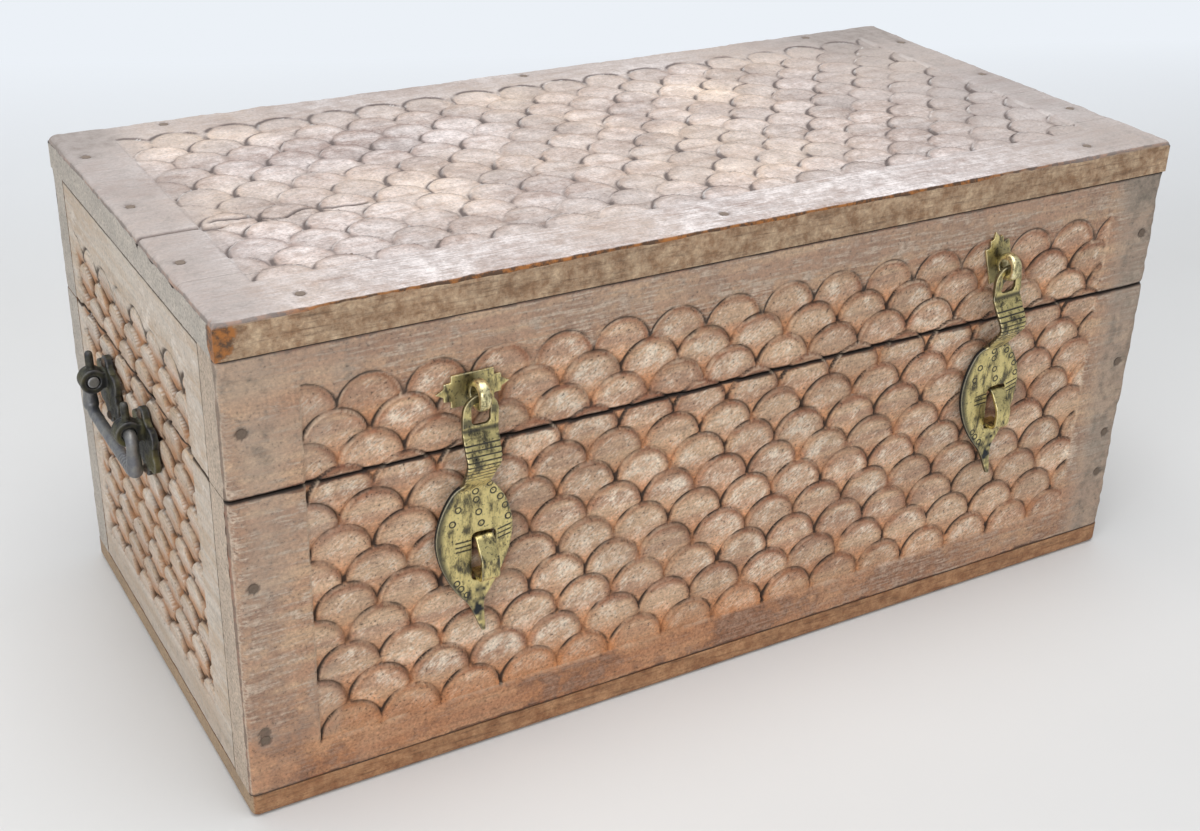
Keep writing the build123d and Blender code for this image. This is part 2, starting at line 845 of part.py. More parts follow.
# ---------------------------------------------------------------- handles
def export_bracket(name, side, y_middle):
    """A lobed plate with an eye that stands out from it and a bud on top of the eye."""
    wall = Plane(origin=(side * end_x, y_middle, eye_z), x_dir=(0, side, 0), z_dir=(side, 0, 0))
    across = Plane(origin=(side * end_x, y_middle, eye_z), x_dir=(side, 0, 0), z_dir=(0, -side, 0))
    with BuildPart() as bracket:
        with BuildSketch(wall):
            with Locations((0, -bracket_drop)):
                Circle(bracket_radius)
                with PolarLocations(bracket_lobe_reach, bracket_lobes, start_angle=90):
                    Circle(bracket_lobe_radius)
        extrude(amount=bracket_thickness)
        with BuildSketch(across):
            Rectangle(eye_out, bracket_neck_height, align=(Align.MIN, Align.CENTER))
            with Locations((eye_out, 0)):
                Circle(bracket_eye_radius)
                Circle(bracket_eye_hole, mode=Mode.SUBTRACT)
        extrude(amount=bracket_eye_width / 2, both=True)
        with BuildSketch(Plane.XY.offset(eye_z + 0.8 * bracket_eye_radius)):
            with Locations((side * (end_x + eye_out), y_middle)):
                Circle(bud_radius)
        extrude(amount=0.2 * bracket_eye_radius + bud_height)
        fillet(bracket.faces().sort_by(Axis.Z)[-1].edges(), 0.8 * bud_radius)
        with Locations(*bracket_seats(side, bracket_thickness)):
            Hole(pin_nail_radius + nail_clearance, bracket_thickness)
    bracket.part.label = name
    export_step(bracket.part, f"parts/{name}.step")


def export_bail(name, side):
    """A bail hooked into both eyes from outside, with swollen knuckles and a small nub."""
    axis_x = side * (end_x + eye_out)
    hang = Plane(origin=(axis_x, handle_shift, eye_z), x_dir=(0, 1, 0), z_dir=(1, 0, 0))
    leg = bracket_spread / 2 + bracket_eye_width / 2 + bail_side_gap + bail_radius
    stub_end = bracket_spread / 2 - bracket_eye_width / 2 - bail_side_gap
    hook_bend = bail_radius + bail_side_gap
    with BuildPart() as bail:
        with BuildLine(hang):
            path = FilletPolyline(
                (-stub_end, 0),
                (-leg, 0),
                (-leg, -bail_drop),
                (leg, -bail_drop),
                (leg, 0),
                (stub_end, 0),
                radius=(hook_bend, bail_corner, bail_corner, hook_bend),
            )
        with BuildSketch(Plane(origin=path @ 0, z_dir=path % 0)):
            Circle(bail_radius)
        sweep()
        for turn in (-1, 1):
            foot = Plane(
                origin=(axis_x, handle_shift + turn * leg, eye_z - bail_drop + bail_radius),
                z_dir=up,
            )
            with Locations(foot):
                Sphere(knuckle_radius)
                Cone(
                    knuckle_radius,
                    bail_radius,
                    bail_drop - 2 * bail_radius - knuckle_radius,
                    align=(Align.CENTER, Align.CENTER, Align.MIN),
                )
        inner = Plane(origin=(axis_x, handle_shift, eye_z - bail_drop), z_dir=(-side, 0, 0))
        with Locations(inner):
            Cone(
                nub_radius,
                0.5 * nub_radius,
                bail_radius + nub_length,
                align=(Align.CENTER, Align.CENTER, Align.MIN),
            )
    bail.part.label = name
    export_step(bail.part, f"parts/{name}.step")


for name, side in (("left", -1), ("right", 1)):
    for place, y_middle in bracket_y.items():
        export_bracket(f"handle_bracket_{name}_{place}", side, y_middle)
    export_bail(f"handle_{name}", side)

export_nails(
    "handle_nails",
    pin_nail,
    bracket_seats(-1, bracket_thickness) + bracket_seats(1, bracket_thickness),
)
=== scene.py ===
from math import cos, pi, radians, sin

import bpy
import numpy as np
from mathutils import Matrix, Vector


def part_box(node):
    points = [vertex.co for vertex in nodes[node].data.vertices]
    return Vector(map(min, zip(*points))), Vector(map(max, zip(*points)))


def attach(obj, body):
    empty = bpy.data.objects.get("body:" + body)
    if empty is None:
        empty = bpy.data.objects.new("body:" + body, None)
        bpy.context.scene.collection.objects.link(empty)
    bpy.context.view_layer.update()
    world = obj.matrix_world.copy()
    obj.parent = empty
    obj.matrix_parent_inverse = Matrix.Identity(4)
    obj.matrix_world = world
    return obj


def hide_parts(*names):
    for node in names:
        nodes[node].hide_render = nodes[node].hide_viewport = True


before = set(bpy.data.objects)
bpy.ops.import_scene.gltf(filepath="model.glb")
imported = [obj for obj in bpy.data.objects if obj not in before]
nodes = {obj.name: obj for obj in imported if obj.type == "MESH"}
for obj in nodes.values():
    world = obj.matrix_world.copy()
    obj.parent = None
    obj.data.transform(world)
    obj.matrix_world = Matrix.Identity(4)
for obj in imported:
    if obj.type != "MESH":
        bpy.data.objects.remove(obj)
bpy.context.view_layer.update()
mm = 0.001

# ---------------------------------------------------------------- bottom board
# A sheet of oiled hardwood, 10 mm thick, nailed up under the four walls. Its edge shows as an
# orange-brown line round the foot of the box. Its rounded, dirty corners are not drawn: the board
# keeps its CAD shape.


def linear(hex_colour):
    """An sRGB hex colour as linear light, with an alpha of one."""
    shares = [int(hex_colour[place:place + 2], 16) / 255 for place in (1, 3, 5)]
    light = [s / 12.92 if s <= 0.04045 else ((s + 0.055) / 1.055) ** 2.4 for s in shares]
    return (*light, 1.0)


def add(tree, kind, settings, out=0):
    """Adds a shader node and returns one of its outputs. A setting is a property of the node,
    or the name or number of an input. A hex colour is made linear and a socket is linked."""
    node = tree.nodes.new("ShaderNode" + kind)
    for key, value in settings.items():
        if isinstance(key, str) and hasattr(node, key):
            setattr(node, key, value)
            continue
        socket = node.inputs[key]
        if isinstance(value, bpy.types.NodeSocket):
            tree.links.new(value, socket)
        else:
            socket.default_value = linear(value) if isinstance(value, str) else value
    return node.outputs[out]


def new_material(name):
    """An empty node material: its tree, its Principled BSDF, and the material."""
    material = bpy.data.materials.new(name)
    material.use_nodes = True
    return material.node_tree, material.node_tree.nodes["Principled BSDF"], material


def dress(node_name, material):
    """Gives a CAD node a finished material."""
    piece = nodes[node_name]
    piece.data.materials.clear()
    piece.data.materials.append(material)


fibre_width = 1.0 * mm
fibre_length = 14 * mm
growth_width = 7 * mm       # bands of redder and of paler wood
growth_length = 90 * mm
stain_size = 34 * mm
blotch_size = 7 * mm
pore_size = 1.3 * mm        # pores and fine scratches, drawn a little coarser than they are
scuff_start = 12 * mm       # a rubbed corner is fully bare up to here, and ends where scuff_end
scuff_end = 13.5 * mm       # says, both give or take scuff_ragged
scuff_ragged = 10 * mm
# Near black: packed dirt in the open joints and the crack, and painted shade in the deepest pockets
# of the knife lines
packed_dirt_and_shade = "#1b1613"     # in the open joints and the deepest knife lines


def weathered_wood(name, tones, grain, outward):
    """Old hand-carved hardwood that was limed and then rubbed back, so that it looks dry, pale
    on its flats and red-brown where it is bare. grain is the axis its fibres follow and outward
    the axis its worked face looks along. tones holds its colours and how far each one shows.
    The worked boards say where each finish lies: line is a knife line, dark with dirt and with
    painted shade in its pockets, rim the band inside it, bare wood deepened by painted shade, crown
    the flat of a scale, hollow its foot, shade one value for each scale, field the carved ground,
    the lime and highlight trait holds lime along the scribed line and a painted highlight just
    inside the rims, edge a worn edge, grime old dirt, warm bare orange wood, and inner the unworked
    back."""
    tree, shader, material = new_material(name)
    where = add(tree, "TexCoord", {}, 3)
    facing = add(tree, "TexCoord", {}, 1)
    traits = ("line", "rim", "crown", "hollow", "shade", "field", "lime_and_highlight", "edge", "grime",
              "warm", "inner")
    lie = {key: add(tree, "Attribute", {"attribute_name": key}, 2) for key in traits}

    # Fibres and growth bands, both drawn out along the grain
    run = [1 / fibre_width] * 3
    run[grain] = 1 / fibre_length
    place = add(tree, "Mapping", {"Vector": where, "Scale": run})
    fibre = add(tree, "TexNoise", {"Vector": place, "Scale": 1.0, "Detail": 6.0, "Roughness": 0.66})
    run = [1 / growth_width] * 3
    run[grain] = 1 / growth_length
    place = add(tree, "Mapping", {"Vector": where, "Scale": run})
    band = add(tree, "TexNoise", {"Vector": place, "Scale": 1.0, "Detail": 5.0, "Distortion": 0.5})

    # Scraper strokes that slant over the flats
    stroke_width, stroke_length = tones["stroke"]
    turn = [0.0, 0.0, 0.0]
    turn[outward] = radians(tones["slant"])
    place = add(tree, "Mapping", {"Vector": where, "Rotation": turn})
    run = [1 / (stroke_width * mm)] * 3
    run[0 if outward else 1] = 1 / (stroke_length * mm)
    place = add(tree, "Mapping", {"Vector": place, "Scale": run})
    stroke = add(tree, "TexNoise", {"Vector": place, "Scale": 1.0, "Detail": 7.0, "Roughness": 0.74})

    # Broad stains, blotches, and pores
    stain, mottle, pore = (
        add(tree, "TexNoise", {
            "Vector": where, "Scale": 1 / size, "Detail": detail, "Roughness": roughness,
        })
        for size, detail, roughness in (
            (stain_size, 5.0, 0.6), (blotch_size, 8.0, 0.7), (pore_size, 4.0, 0.7),
        )
    )

    # The wood itself, from red-brown to tan, with darker fibres
    share = add(tree, "MapRange", {"Value": band, 1: 0.4, 2: 0.6})
    colour = add(tree, "Mix", {"data_type": "RGBA", 0: share, 6: tones["red"], 7: tones["body"]}, 2)
    vein = add(tree, "MapRange", {"Value": fibre, 1: 0.48, 2: 0.66, 4: tones["vein"]})

    # Bare red wood in the band inside each rim, deepened by painted shade, and another tone towards
    # the foot: fresher wood on the walls, darker grey on the top
    patchy = add(tree, "MapRange", {"Value": mottle, 1: 0.36, 2: 0.58, 3: 0.45, 4: 1.0})
    rim = add(tree, "Math", {"operation": "MULTIPLY", 0: lie["rim"], 1: patchy})
    rim = add(tree, "Math", {"operation": "MULTIPLY", 0: rim, 1: tones["rim_share"]})
    foot = add(tree, "Math", {"operation": "MULTIPLY_ADD", 0: mottle, 1: 0.9, 2: lie["hollow"]})
    foot = add(tree, "MapRange", {
        "Value": foot, 1: tones["foot_from"], 2: tones["foot_from"] + 0.4, 4: tones["foot_share"],
    })
    foot = add(tree, "Math", {"operation": "MULTIPLY", 0: foot, 1: lie["field"]})
    warm = add(tree, "MapRange", {"Value": stain, 1: 0.35, 2: 0.65, 3: 0.35, 4: 1.0})
    warm = add(tree, "Math", {"operation": "MULTIPLY", 0: warm, 1: lie["warm"]})

    # Browner patches on the plain margins round the carving
    margin = add(tree, "Math", {"operation": "SUBTRACT", 0: 1.0, 1: lie["field"]})
    brown = add(tree, "Math", {"operation": "MULTIPLY_ADD", 0: mottle, 1: 0.8, 2: stain})
    brown = add(tree, "MapRange", {"Value": brown, 1: 0.8, 2: 0.98, 4: tones["margin_share"]})
    brown = add(tree, "Math", {"operation": "MULTIPLY", 0: brown, 1: margin})

    # Old lime: in slanting strokes on the flats of the scales and along the fibres on the
    # margins, and thinner where the wood is warm and bare
    streak = add(tree, "Mix", {"data_type": "FLOAT", 0: lie["field"], 2: fibre, 3: stroke})
    streak = add(tree, "Math", {"operation": "MULTIPLY_ADD", 0: mottle, 1: 0.8, 2: streak})
    streak = add(tree, "Math", {"operation": "MULTIPLY_ADD", 0: stain, 1: 0.5, 2: streak})
    lime = add(tree, "MapRange", {
        "Value": streak, 1: tones["lime_from"], 2: tones["lime_to"], 3: tones["film"],
    })
    bare = add(tree, "Math", {"operation": "MULTIPLY", 0: margin, 1: tones["margin_lime"]})
    cover = add(tree, "Math", {
        "operation": "MULTIPLY_ADD", 0: lie["crown"], 1: tones["flat_lime"], 2: bare,
    })
    lime = add(tree, "Math", {"operation": "MULTIPLY", 0: lime, 1: cover})
    thin = add(tree, "Math", {"operation": "MULTIPLY_ADD", 0: lie["warm"], 1: -0.7, 2: 1.0})
    lime = add(tree, "Math", {"operation": "MULTIPLY", 0: lime, 1: thin})
    layers = ((vein, "dark"), (rim, "rim"), (foot, "foot"), (warm, "warm"), (brown, "margin"),
              (lime, "pale"))
    for share, tone in layers:
        colour = add(tree, "Mix", {"data_type": "RGBA", 0: share, 6: colour, 7: tones[tone]}, 2)

    # The sawn sides of the board, its end grain, and its back, which was never limed
    across = add(tree, "SeparateXYZ", {0: facing}, outward)
    flat_on = add(tree, "Math", {"operation": "ABSOLUTE", 0: across})
    side = add(tree, "MapRange", {"Value": flat_on, 1: 0.75, 2: 0.45})
    share = add(tree, "MapRange", {"Value": mottle, 1: 0.38, 2: 0.62})
    sawn = add(tree, "Mix", {
        "data_type": "RGBA", 0: share, 6: tones["side"], 7: tones["side_pale"],
    }, 2)
    rings = add(tree, "MapRange", {"Value": fibre, 1: 0.5, 2: 0.7, 4: 0.6})
    along = add(tree, "SeparateXYZ", {0: facing}, grain)
    along = add(tree, "Math", {"operation": "ABSOLUTE", 0: along})
    endwise = add(tree, "MapRange", {"Value": along, 1: 0.6, 2: 0.8})
    behind = add(tree, "MapRange", {"Value": flat_on, 1: 0.6, 2: 0.9})
    behind = add(tree, "Math", {"operation": "MULTIPLY", 0: behind, 1: lie["inner"]})
    sawn, end_grain, unlimed = (
        add(tree, "Mix", {"data_type": "RGBA", 0: share, 6: ground, 7: tones["side_dark"]}, 2)
        for share, ground in ((rings, sawn), (rings, tones["end"]), (vein, tones["back"]))
    )
    sawn = add(tree, "Mix", {"data_type": "RGBA", 0: endwise, 6: sawn, 7: end_grain}, 2)
    for share, wood in ((side, sawn), (behind, unlimed)):
        colour = add(tree, "Mix", {"data_type": "RGBA", 0: share, 6: colour, 7: wood}, 2)

    # No two scales are alike, and the wood is darker and paler in stains, blotches and grit
    grit = tones["grit"]
    uneven = (
        {"Value": lie["shade"], 3: 0.9, 4: 1.1},
        {"Value": stain, 1: 0.3, 2: 0.7, 3: 0.86, 4: 1.1},
        {"Value": mottle, 1: 0.25, 2: 0.75, 3: 0.8, 4: 1.2},
        {"Value": pore, 1: 0.3, 2: 0.7, 3: 1 - grit, 4: 1 + grit},
    )
    for settings in uneven:
        tone = add(tree, "MapRange", settings)
        colour = add(tree, "VectorMath", {"operation": "SCALE", 0: colour, "Scale": tone})

    # Wood rubbed bare along the edges and at a scuffed corner
    rub = add(tree, "Math", {"operation": "MULTIPLY_ADD", 0: mottle, 1: 1.2, 2: lie["edge"]})
    rub = add(tree, "MapRange", {"Value": rub, 1: 1.1, 2: 1.4, 4: tones["edge_share"]})
    share = add(tree, "MapRange", {"Value": mottle, 1: 0.42, 2: 0.54})
    worn = add(tree, "Mix", {
        "data_type": "RGBA", 0: share, 6: tones["edge"], 7: tones["edge_dark"],
    }, 2)
    near = add(tree, "VectorMath", {"operation": "DISTANCE", 0: where, 1: tones["scuff"]}, 1)
    near = add(tree, "Math", {"operation": "MULTIPLY_ADD", 0: mottle, 1: scuff_ragged, 2: near})
    scuff = add(tree, "MapRange", {"Value": near, 1: scuff_start, 2: scuff_end, 3: 0.9, 4: 0.0})

    # Grime, dirt in the pores, dirt and painted shade in the knife lines, and lime and a painted
    # highlight beside the lines
    grey = add(tree, "MapRange", {"Value": lie["grime"], 1: 0.0, 2: 0.5, 4: 0.8})
    dirt = add(tree, "Math", {"operation": "MULTIPLY_ADD", 0: mottle, 1: 1.5, 2: lie["grime"]})
    dirt = add(tree, "MapRange", {"Value": dirt, 1: 1.05, 2: 1.6, 4: 0.85})
    speck = add(tree, "MapRange", {"Value": pore, 1: 0.385, 2: 0.33, 4: tones["speck"]})
    share = add(tree, "MapRange", {"Value": lie["field"], 3: 0.5, 4: 1.0})
    speck = add(tree, "Math", {"operation": "MULTIPLY", 0: speck, 1: share})
    line_dirt_and_shade = add(tree, "MapRange", {"Value": lie["line"], 1: 0.1, 2: 0.75, 4: tones["dirt"]})
    packed = add(tree, "MapRange", {"Value": lie["line"], 1: 0.95, 2: 1.25, 4: 0.9})
    lime_and_highlight = add(tree, "Math", {"operation": "MULTIPLY", 0: lie["lime_and_highlight"], 1: patchy})
    layers = (
        (rub, worn), (scuff, worn), (grey, tones["ash"]), (dirt, tones["grime"]),
        (speck, tones["dark"]), (line_dirt_and_shade, tones["dark"]), (packed, packed_dirt_and_shade),
        (lime_and_highlight, tones["lime_and_highlight"]),
    )
    for share, tone in layers:
        colour = add(tree, "Mix", {"data_type": "RGBA", 0: share, 6: colour, 7: tone}, 2)

    tree.links.new(colour, shader.inputs["Base Color"])
    rough = add(tree, "MapRange", {"Value": mottle, 1: 0.3, 2: 0.7, 3: 0.6, 4: 0.85})
    tree.links.new(rough, shader.inputs["Roughness"])
    height = add(tree, "Math", {"operation": "MULTIPLY_ADD", 0: pore, 1: 0.6, 2: streak})
    bump = add(tree, "Bump", {"Height": height, "Strength": 0.6, "Distance": 0.5 * mm})
    tree.links.new(bump, shader.inputs["Normal"])
    return material


nowhere = (0, 0, -1)        # far under the floor, for boards without a scuffed corner
oiled_tones = {
    # the wood and its darker fibres, and its scraper strokes: slant in degrees, size in mm
    "red": "#8d5c3b", "body": "#a97d58", "dark": "#38271b", "vein": 0.5,
    "slant": 0, "stroke": (1.5, 9.0), "grit": 0.15,
    # old lime: the share where it begins and is full, its film, and where it lies, and the pale tone
    # of lime and painted highlight along the lines
    "pale": "#c4a98f", "lime_from": 1.1, "lime_to": 1.4, "film": 0.0,
    "flat_lime": 0.0, "margin_lime": 0.55, "lime_and_highlight": "#d8ccc0",
    # bare wood inside the rims, deepened there by painted shade, at the foot of the scales, in warm
    # places and on the margins
    "rim": "#8f5c41", "rim_share": 0.0, "foot": "#a8683f", "foot_from": 1.0, "foot_share": 0.0,
    "warm": "#b5764c", "margin": "#7c5636", "margin_share": 0.4,
    # the sawn sides and ends, the unworked back, worn edges, and one scuffed corner
    "side": "#9c6a44", "side_pale": "#b98d66", "side_dark": "#4d3220", "end": "#b59a7c",
    "back": "#9a7350", "edge": "#7d4a29", "edge_dark": "#4d3220", "edge_share": 0.6,
    "scuff": nowhere,
    # dirt: grime and the grey it leaves, specks in the pores, and dirt and painted shade in the
    # knife lines
    "grime": "#443a2c", "ash": "#8f7a63", "speck": 0.6, "dirt": 0.8,
}
oiled_wood = weathered_wood("oiled_hardwood", oiled_tones, grain=0, outward=2)
dress("bottom_board", oiled_wood)

# ---------------------------------------------------------------- front board
# The carved front wall, one board 19 mm thick. Rows of half-round scales are knifed into it,
# each row lapped by the next, inside a plain margin that is left at the board's full height.


def smooth_noise(u, v, size, seed):
    """Soft random relief from -1 to 1, with lumps about as wide as size: a square lattice of
    random values, repeated, with soft steps between neighbours."""
    lattice_size = 64
    lattice = np.random.default_rng(seed).uniform(-1, 1, (lattice_size, lattice_size))
    across, along = u / size + 17.3, v / size + 9.1
    column, row = np.floor(across).astype(int), np.floor(along).astype(int)
    s, t = across - column, along - row
    s, t = s * s * (3 - 2 * s), t * t * (3 - 2 * t)
    corner = [
        [lattice[(column + p) % lattice_size, (row + q) % lattice_size] for q in (0, 1)]
        for p in (0, 1)
    ]
    low = corner[0][0] * (1 - s) + corner[1][0] * s
    high = corner[0][1] * (1 - s) + corner[1][1] * s
    return low * (1 - t) + high * t


def ramp(value, start, end):
    """A soft step from 0 at start to 1 at end."""
    share = np.clip((value - start) / (end - start), 0, 1)
    return share * share * (3 - 2 * share)


scale_share = 0.985         # a scale's width as a share of the pitch of its row
uneven_width = 0.035        # how unlike the scales are: in width, as a share of it,
uneven_across = 0.7         # and in place along and across their row, in mm
uneven_down = 0.5
rim_gap = 0.05              # a scale begins this far in from its rim, in mm
far_off = 99.0              # in mm, for what is nowhere near


def scales(u, v, carving):
    """Lays rows of lapped half-round scales over a face, all in millimetres. Gives for each
    point its row, the distance in from its own scale's rim and out to the nearest rim, how
    far down its scale it lies, how far across, the scale's shade, and of the nearest rim the
    point, its lift from the pocket, 0, to the crown, 1, and its side, -1 for the left."""
    rng = np.random.default_rng(carving["seed"])
    pitch, loose = carving["pitch"], carving["loose"]
    columns = 40
    lot = rng.uniform(-1, 1, (carving["rows"], columns, 4))
    found = {key: np.full(u.shape, value) for key, value in (
        ("row", -1.0), ("inner", far_off), ("outer", far_off), ("fall", 0.0), ("across", 0.0),
        ("shade", 0.5), ("rim_u", 0.0), ("rim_v", 0.0), ("lift", 0.0), ("side", 0.0),
    )}
    rim_keys = ("rim_u", "rim_v", "lift", "side")
    near = np.full(u.shape, far_off)
    near_rim = {"rim_u": u.copy(), "rim_v": v.copy(), "lift": 0 * u, "side": 0 * u}
    for row in reversed(range(carving["rows"])):
        height = carving["row_height"] + carving["row_growth"] * row
        head = carving["head"] - (carving["row_height"] + height - carving["row_growth"]) / 2 * row
        start = carving["first"] - (row % 2) * pitch / 2
        home = np.rint((u - start) / pitch)
        best = np.full(u.shape, far_off)
        mine = {key: np.zeros(u.shape) for key in ("du", "dv", "r", "shade", *rim_keys)}
        for step in (-1, 0, 1):
            index = home + step
            chance = lot[row, (index + columns // 2).astype(int) % columns]
            r = pitch / 2 * (scale_share + uneven_width * loose * chance[..., 0])
            centre_u = start + index * pitch + uneven_across * loose * chance[..., 1]
            centre_v = head - r + uneven_down * loose * chance[..., 2]
            du, dv = u - centre_u, v - centre_v
            reach = np.maximum(np.hypot(du, dv), 1e-6)
            gap = np.where(dv >= 0, reach - r, np.abs(du) - r)
            closer = gap < best
            best = np.where(closer, gap, best)
            news = {
                "du": du, "dv": dv, "r": r, "shade": chance[..., 3] / 2 + 0.5,
                "rim_u": np.where(dv >= 0, centre_u + du * r / reach, u),
                "rim_v": np.where(dv >= 0, centre_v + dv * r / reach, v),
                "lift": np.maximum(dv, 0) / reach, "side": np.clip(du / reach, -1, 1),
            }
            for key in mine:
                mine[key] = np.where(closer, news[key], mine[key])
        here = (best < -rim_gap) & (found["row"] < 0) & (mine["dv"] > -2.2 * height)
        own_is_near = -best < near
        values = {
            "row": row, "inner": -best, "outer": near,
            "fall": np.clip((mine["r"] - mine["dv"] - carving["land"]) / (2 * height), 0, 1),
            "across": mine["du"] / mine["r"], "shade": mine["shade"],
            **{key: np.where(own_is_near, mine[key], near_rim[key]) for key in rim_keys},
        }
        for key in found:
            found[key] = np.where(here, values[key], found[key])
        closer = (np.abs(best) < near) & (found["row"] < 0)
        near = np.where(closer, np.abs(best), near)
        for key in rim_keys:
            near_rim[key] = np.where(closer, mine[key], near_rim[key])
    bare = found["row"] < 0
    found["outer"] = np.where(bare, near, found["outer"])
    for key in rim_keys:
        found[key] = np.where(bare, near_rim[key], found[key])
    return found


rim_round = 1.6             # how fast a flat falls to its full dish inside its rim
flat_lean = 0.25            # how far a flat leans to one side, at most
scribe_width = 0.55         # the line scribed round the field


def carve(u, v, carving):
    """The carved relief of a face in millimetres, and the traits that its finish follows."""
    found = scales(u, v, carving)
    left, right, foot = carving["field"]
    border = np.minimum(np.minimum(u - left, right - u), v - foot)
    inside = border > 0
    scale = inside & (found["row"] >= 0)
    outer = np.where(inside, found["outer"], far_off)
    seed = carving["seed"]

    # Each scale slopes down to its foot, and its flat is dished and leans a little
    wear = 1 + 0.3 * smooth_noise(u, v, 26.0, seed + 1)
    slope = carving["cut"] * found["fall"] ** carving["scoop"] * wear
    dish = carving["dish"] * (1 - np.exp(-found["inner"] / rim_round))
    lean = flat_lean * (found["shade"] - 0.5) * found["across"]
    relief = np.where(scale, -0.05 - slope - dish + lean, 0.0)

    # The knife line along each rim is fine at the crown and opens towards the pockets. Its colour is
    # dirt in the cut, with painted shade that makes it wider and darker in the pockets and darker
    # down the left side of each rim
    pocket = 1 - found["lift"]
    width = carving["fine"] + carving["crevice"] * pocket ** carving["spread"]
    knife = np.maximum(
        np.exp(-((outer / width) ** 2)),
        np.where(scale, np.exp(-((found["inner"] / carving["inside"]) ** 2)), 0),
    )
    broken = 0.3 + 0.7 * ramp(smooth_noise(u, v, 6.0, seed + 4), -0.6, 0.4)
    broken *= np.clip(carving["even"] + carving["deep"] * pocket - 0.3 * found["side"], 0.25, 1)
    # Painted shade: the red band inside the rim is strongest at the top and on the right of each
    # scale
    band = np.clip(0.3 + 0.7 * found["lift"] + 0.4 * found["side"], 0.25, 1)
    scribe = np.exp(-((border / scribe_width) ** 2)) * (v < carving["head"])
    relief -= carving["groove"] * knife * wear + 0.4 * carving["groove"] * scribe
    relief += 0.10 * smooth_noise(u, v, 9.0, seed + 2)
    relief += carving["rough"] * smooth_noise(u, v, 2.4, seed + 3)

    # Lime lies on the flats. A painted highlight lies in patches just inside the rims, on their
    # upper parts, and lime lies pale along the scribed line round the field
    flat = np.clip((found["inner"] - 1.6) / 2.6, 0, 1) * (1 - ramp(found["fall"], *carving["bare"]))
    lit = np.exp(-(((found["inner"] - 0.8) / 0.4) ** 2)) * scale
    lit = lit * (0.3 + 0.4 * ramp(v, *carving["lime_and_highlight"]))
    lit *= ramp(smooth_noise(u, v, 6.0, seed + 5), -0.1, 0.5) * ramp(found["lift"], 0.0, 0.5)
    lit = np.maximum(lit, 0.4 * scribe * ramp(smooth_noise(u, v, 9.0, seed + 6), -0.3, 0.3))
    traits = {
        "line": knife * broken,
        "rim": np.where(scale, band * np.clip(1.15 - found["inner"] / carving["rim"], 0, 1), 0),
        "crown": np.where(scale, flat, 0),
        "hollow": np.where(scale, found["fall"], 0),
        "shade": np.where(scale, found["shade"], 0.5),
        "field": scale * 1.0,
        "lime_and_highlight": lit,
    }
    return relief, traits


def grid_lines(low, high, step, low_round, high_round):
    """Places of grid lines in millimetres, close together over each rounded edge."""
    lines_over_edge = 6
    turn = 1 - np.cos(np.linspace(0, pi / 2, lines_over_edge))
    count = max(int(round((high - high_round - low - low_round) / step)), 1)
    middle = np.linspace(low + low_round, high - high_round, count + 1)
    low_turn = low + low_round * turn[:-1] if low_round else []
    high_turn = (high - high_round * turn[:-1])[::-1] if high_round else []
    return np.concatenate((low_turn, middle, high_turn))


edge_spread = 1.7           # the grid is close over this many times the wear of an edge
snap_reach = 0.62           # grid points this near a rim, in steps, move onto it
nail_sink = 0.7             # a nail's head lies in a flat hollow this deep, in mm
nail_hollow = 2.0           # radius of its floor
nail_slope = 1.2            # width of its slope
nail_dirt = 2.6             # how far round the nail dirt lies, and how far a stain
nail_stain = 5.0
joint_dirt_reach = 0.75     # dirt in a joint reaches this far over the edge of the board
side_edge_reach = 1.0       # bare wood reaches no further in from a left or right edge


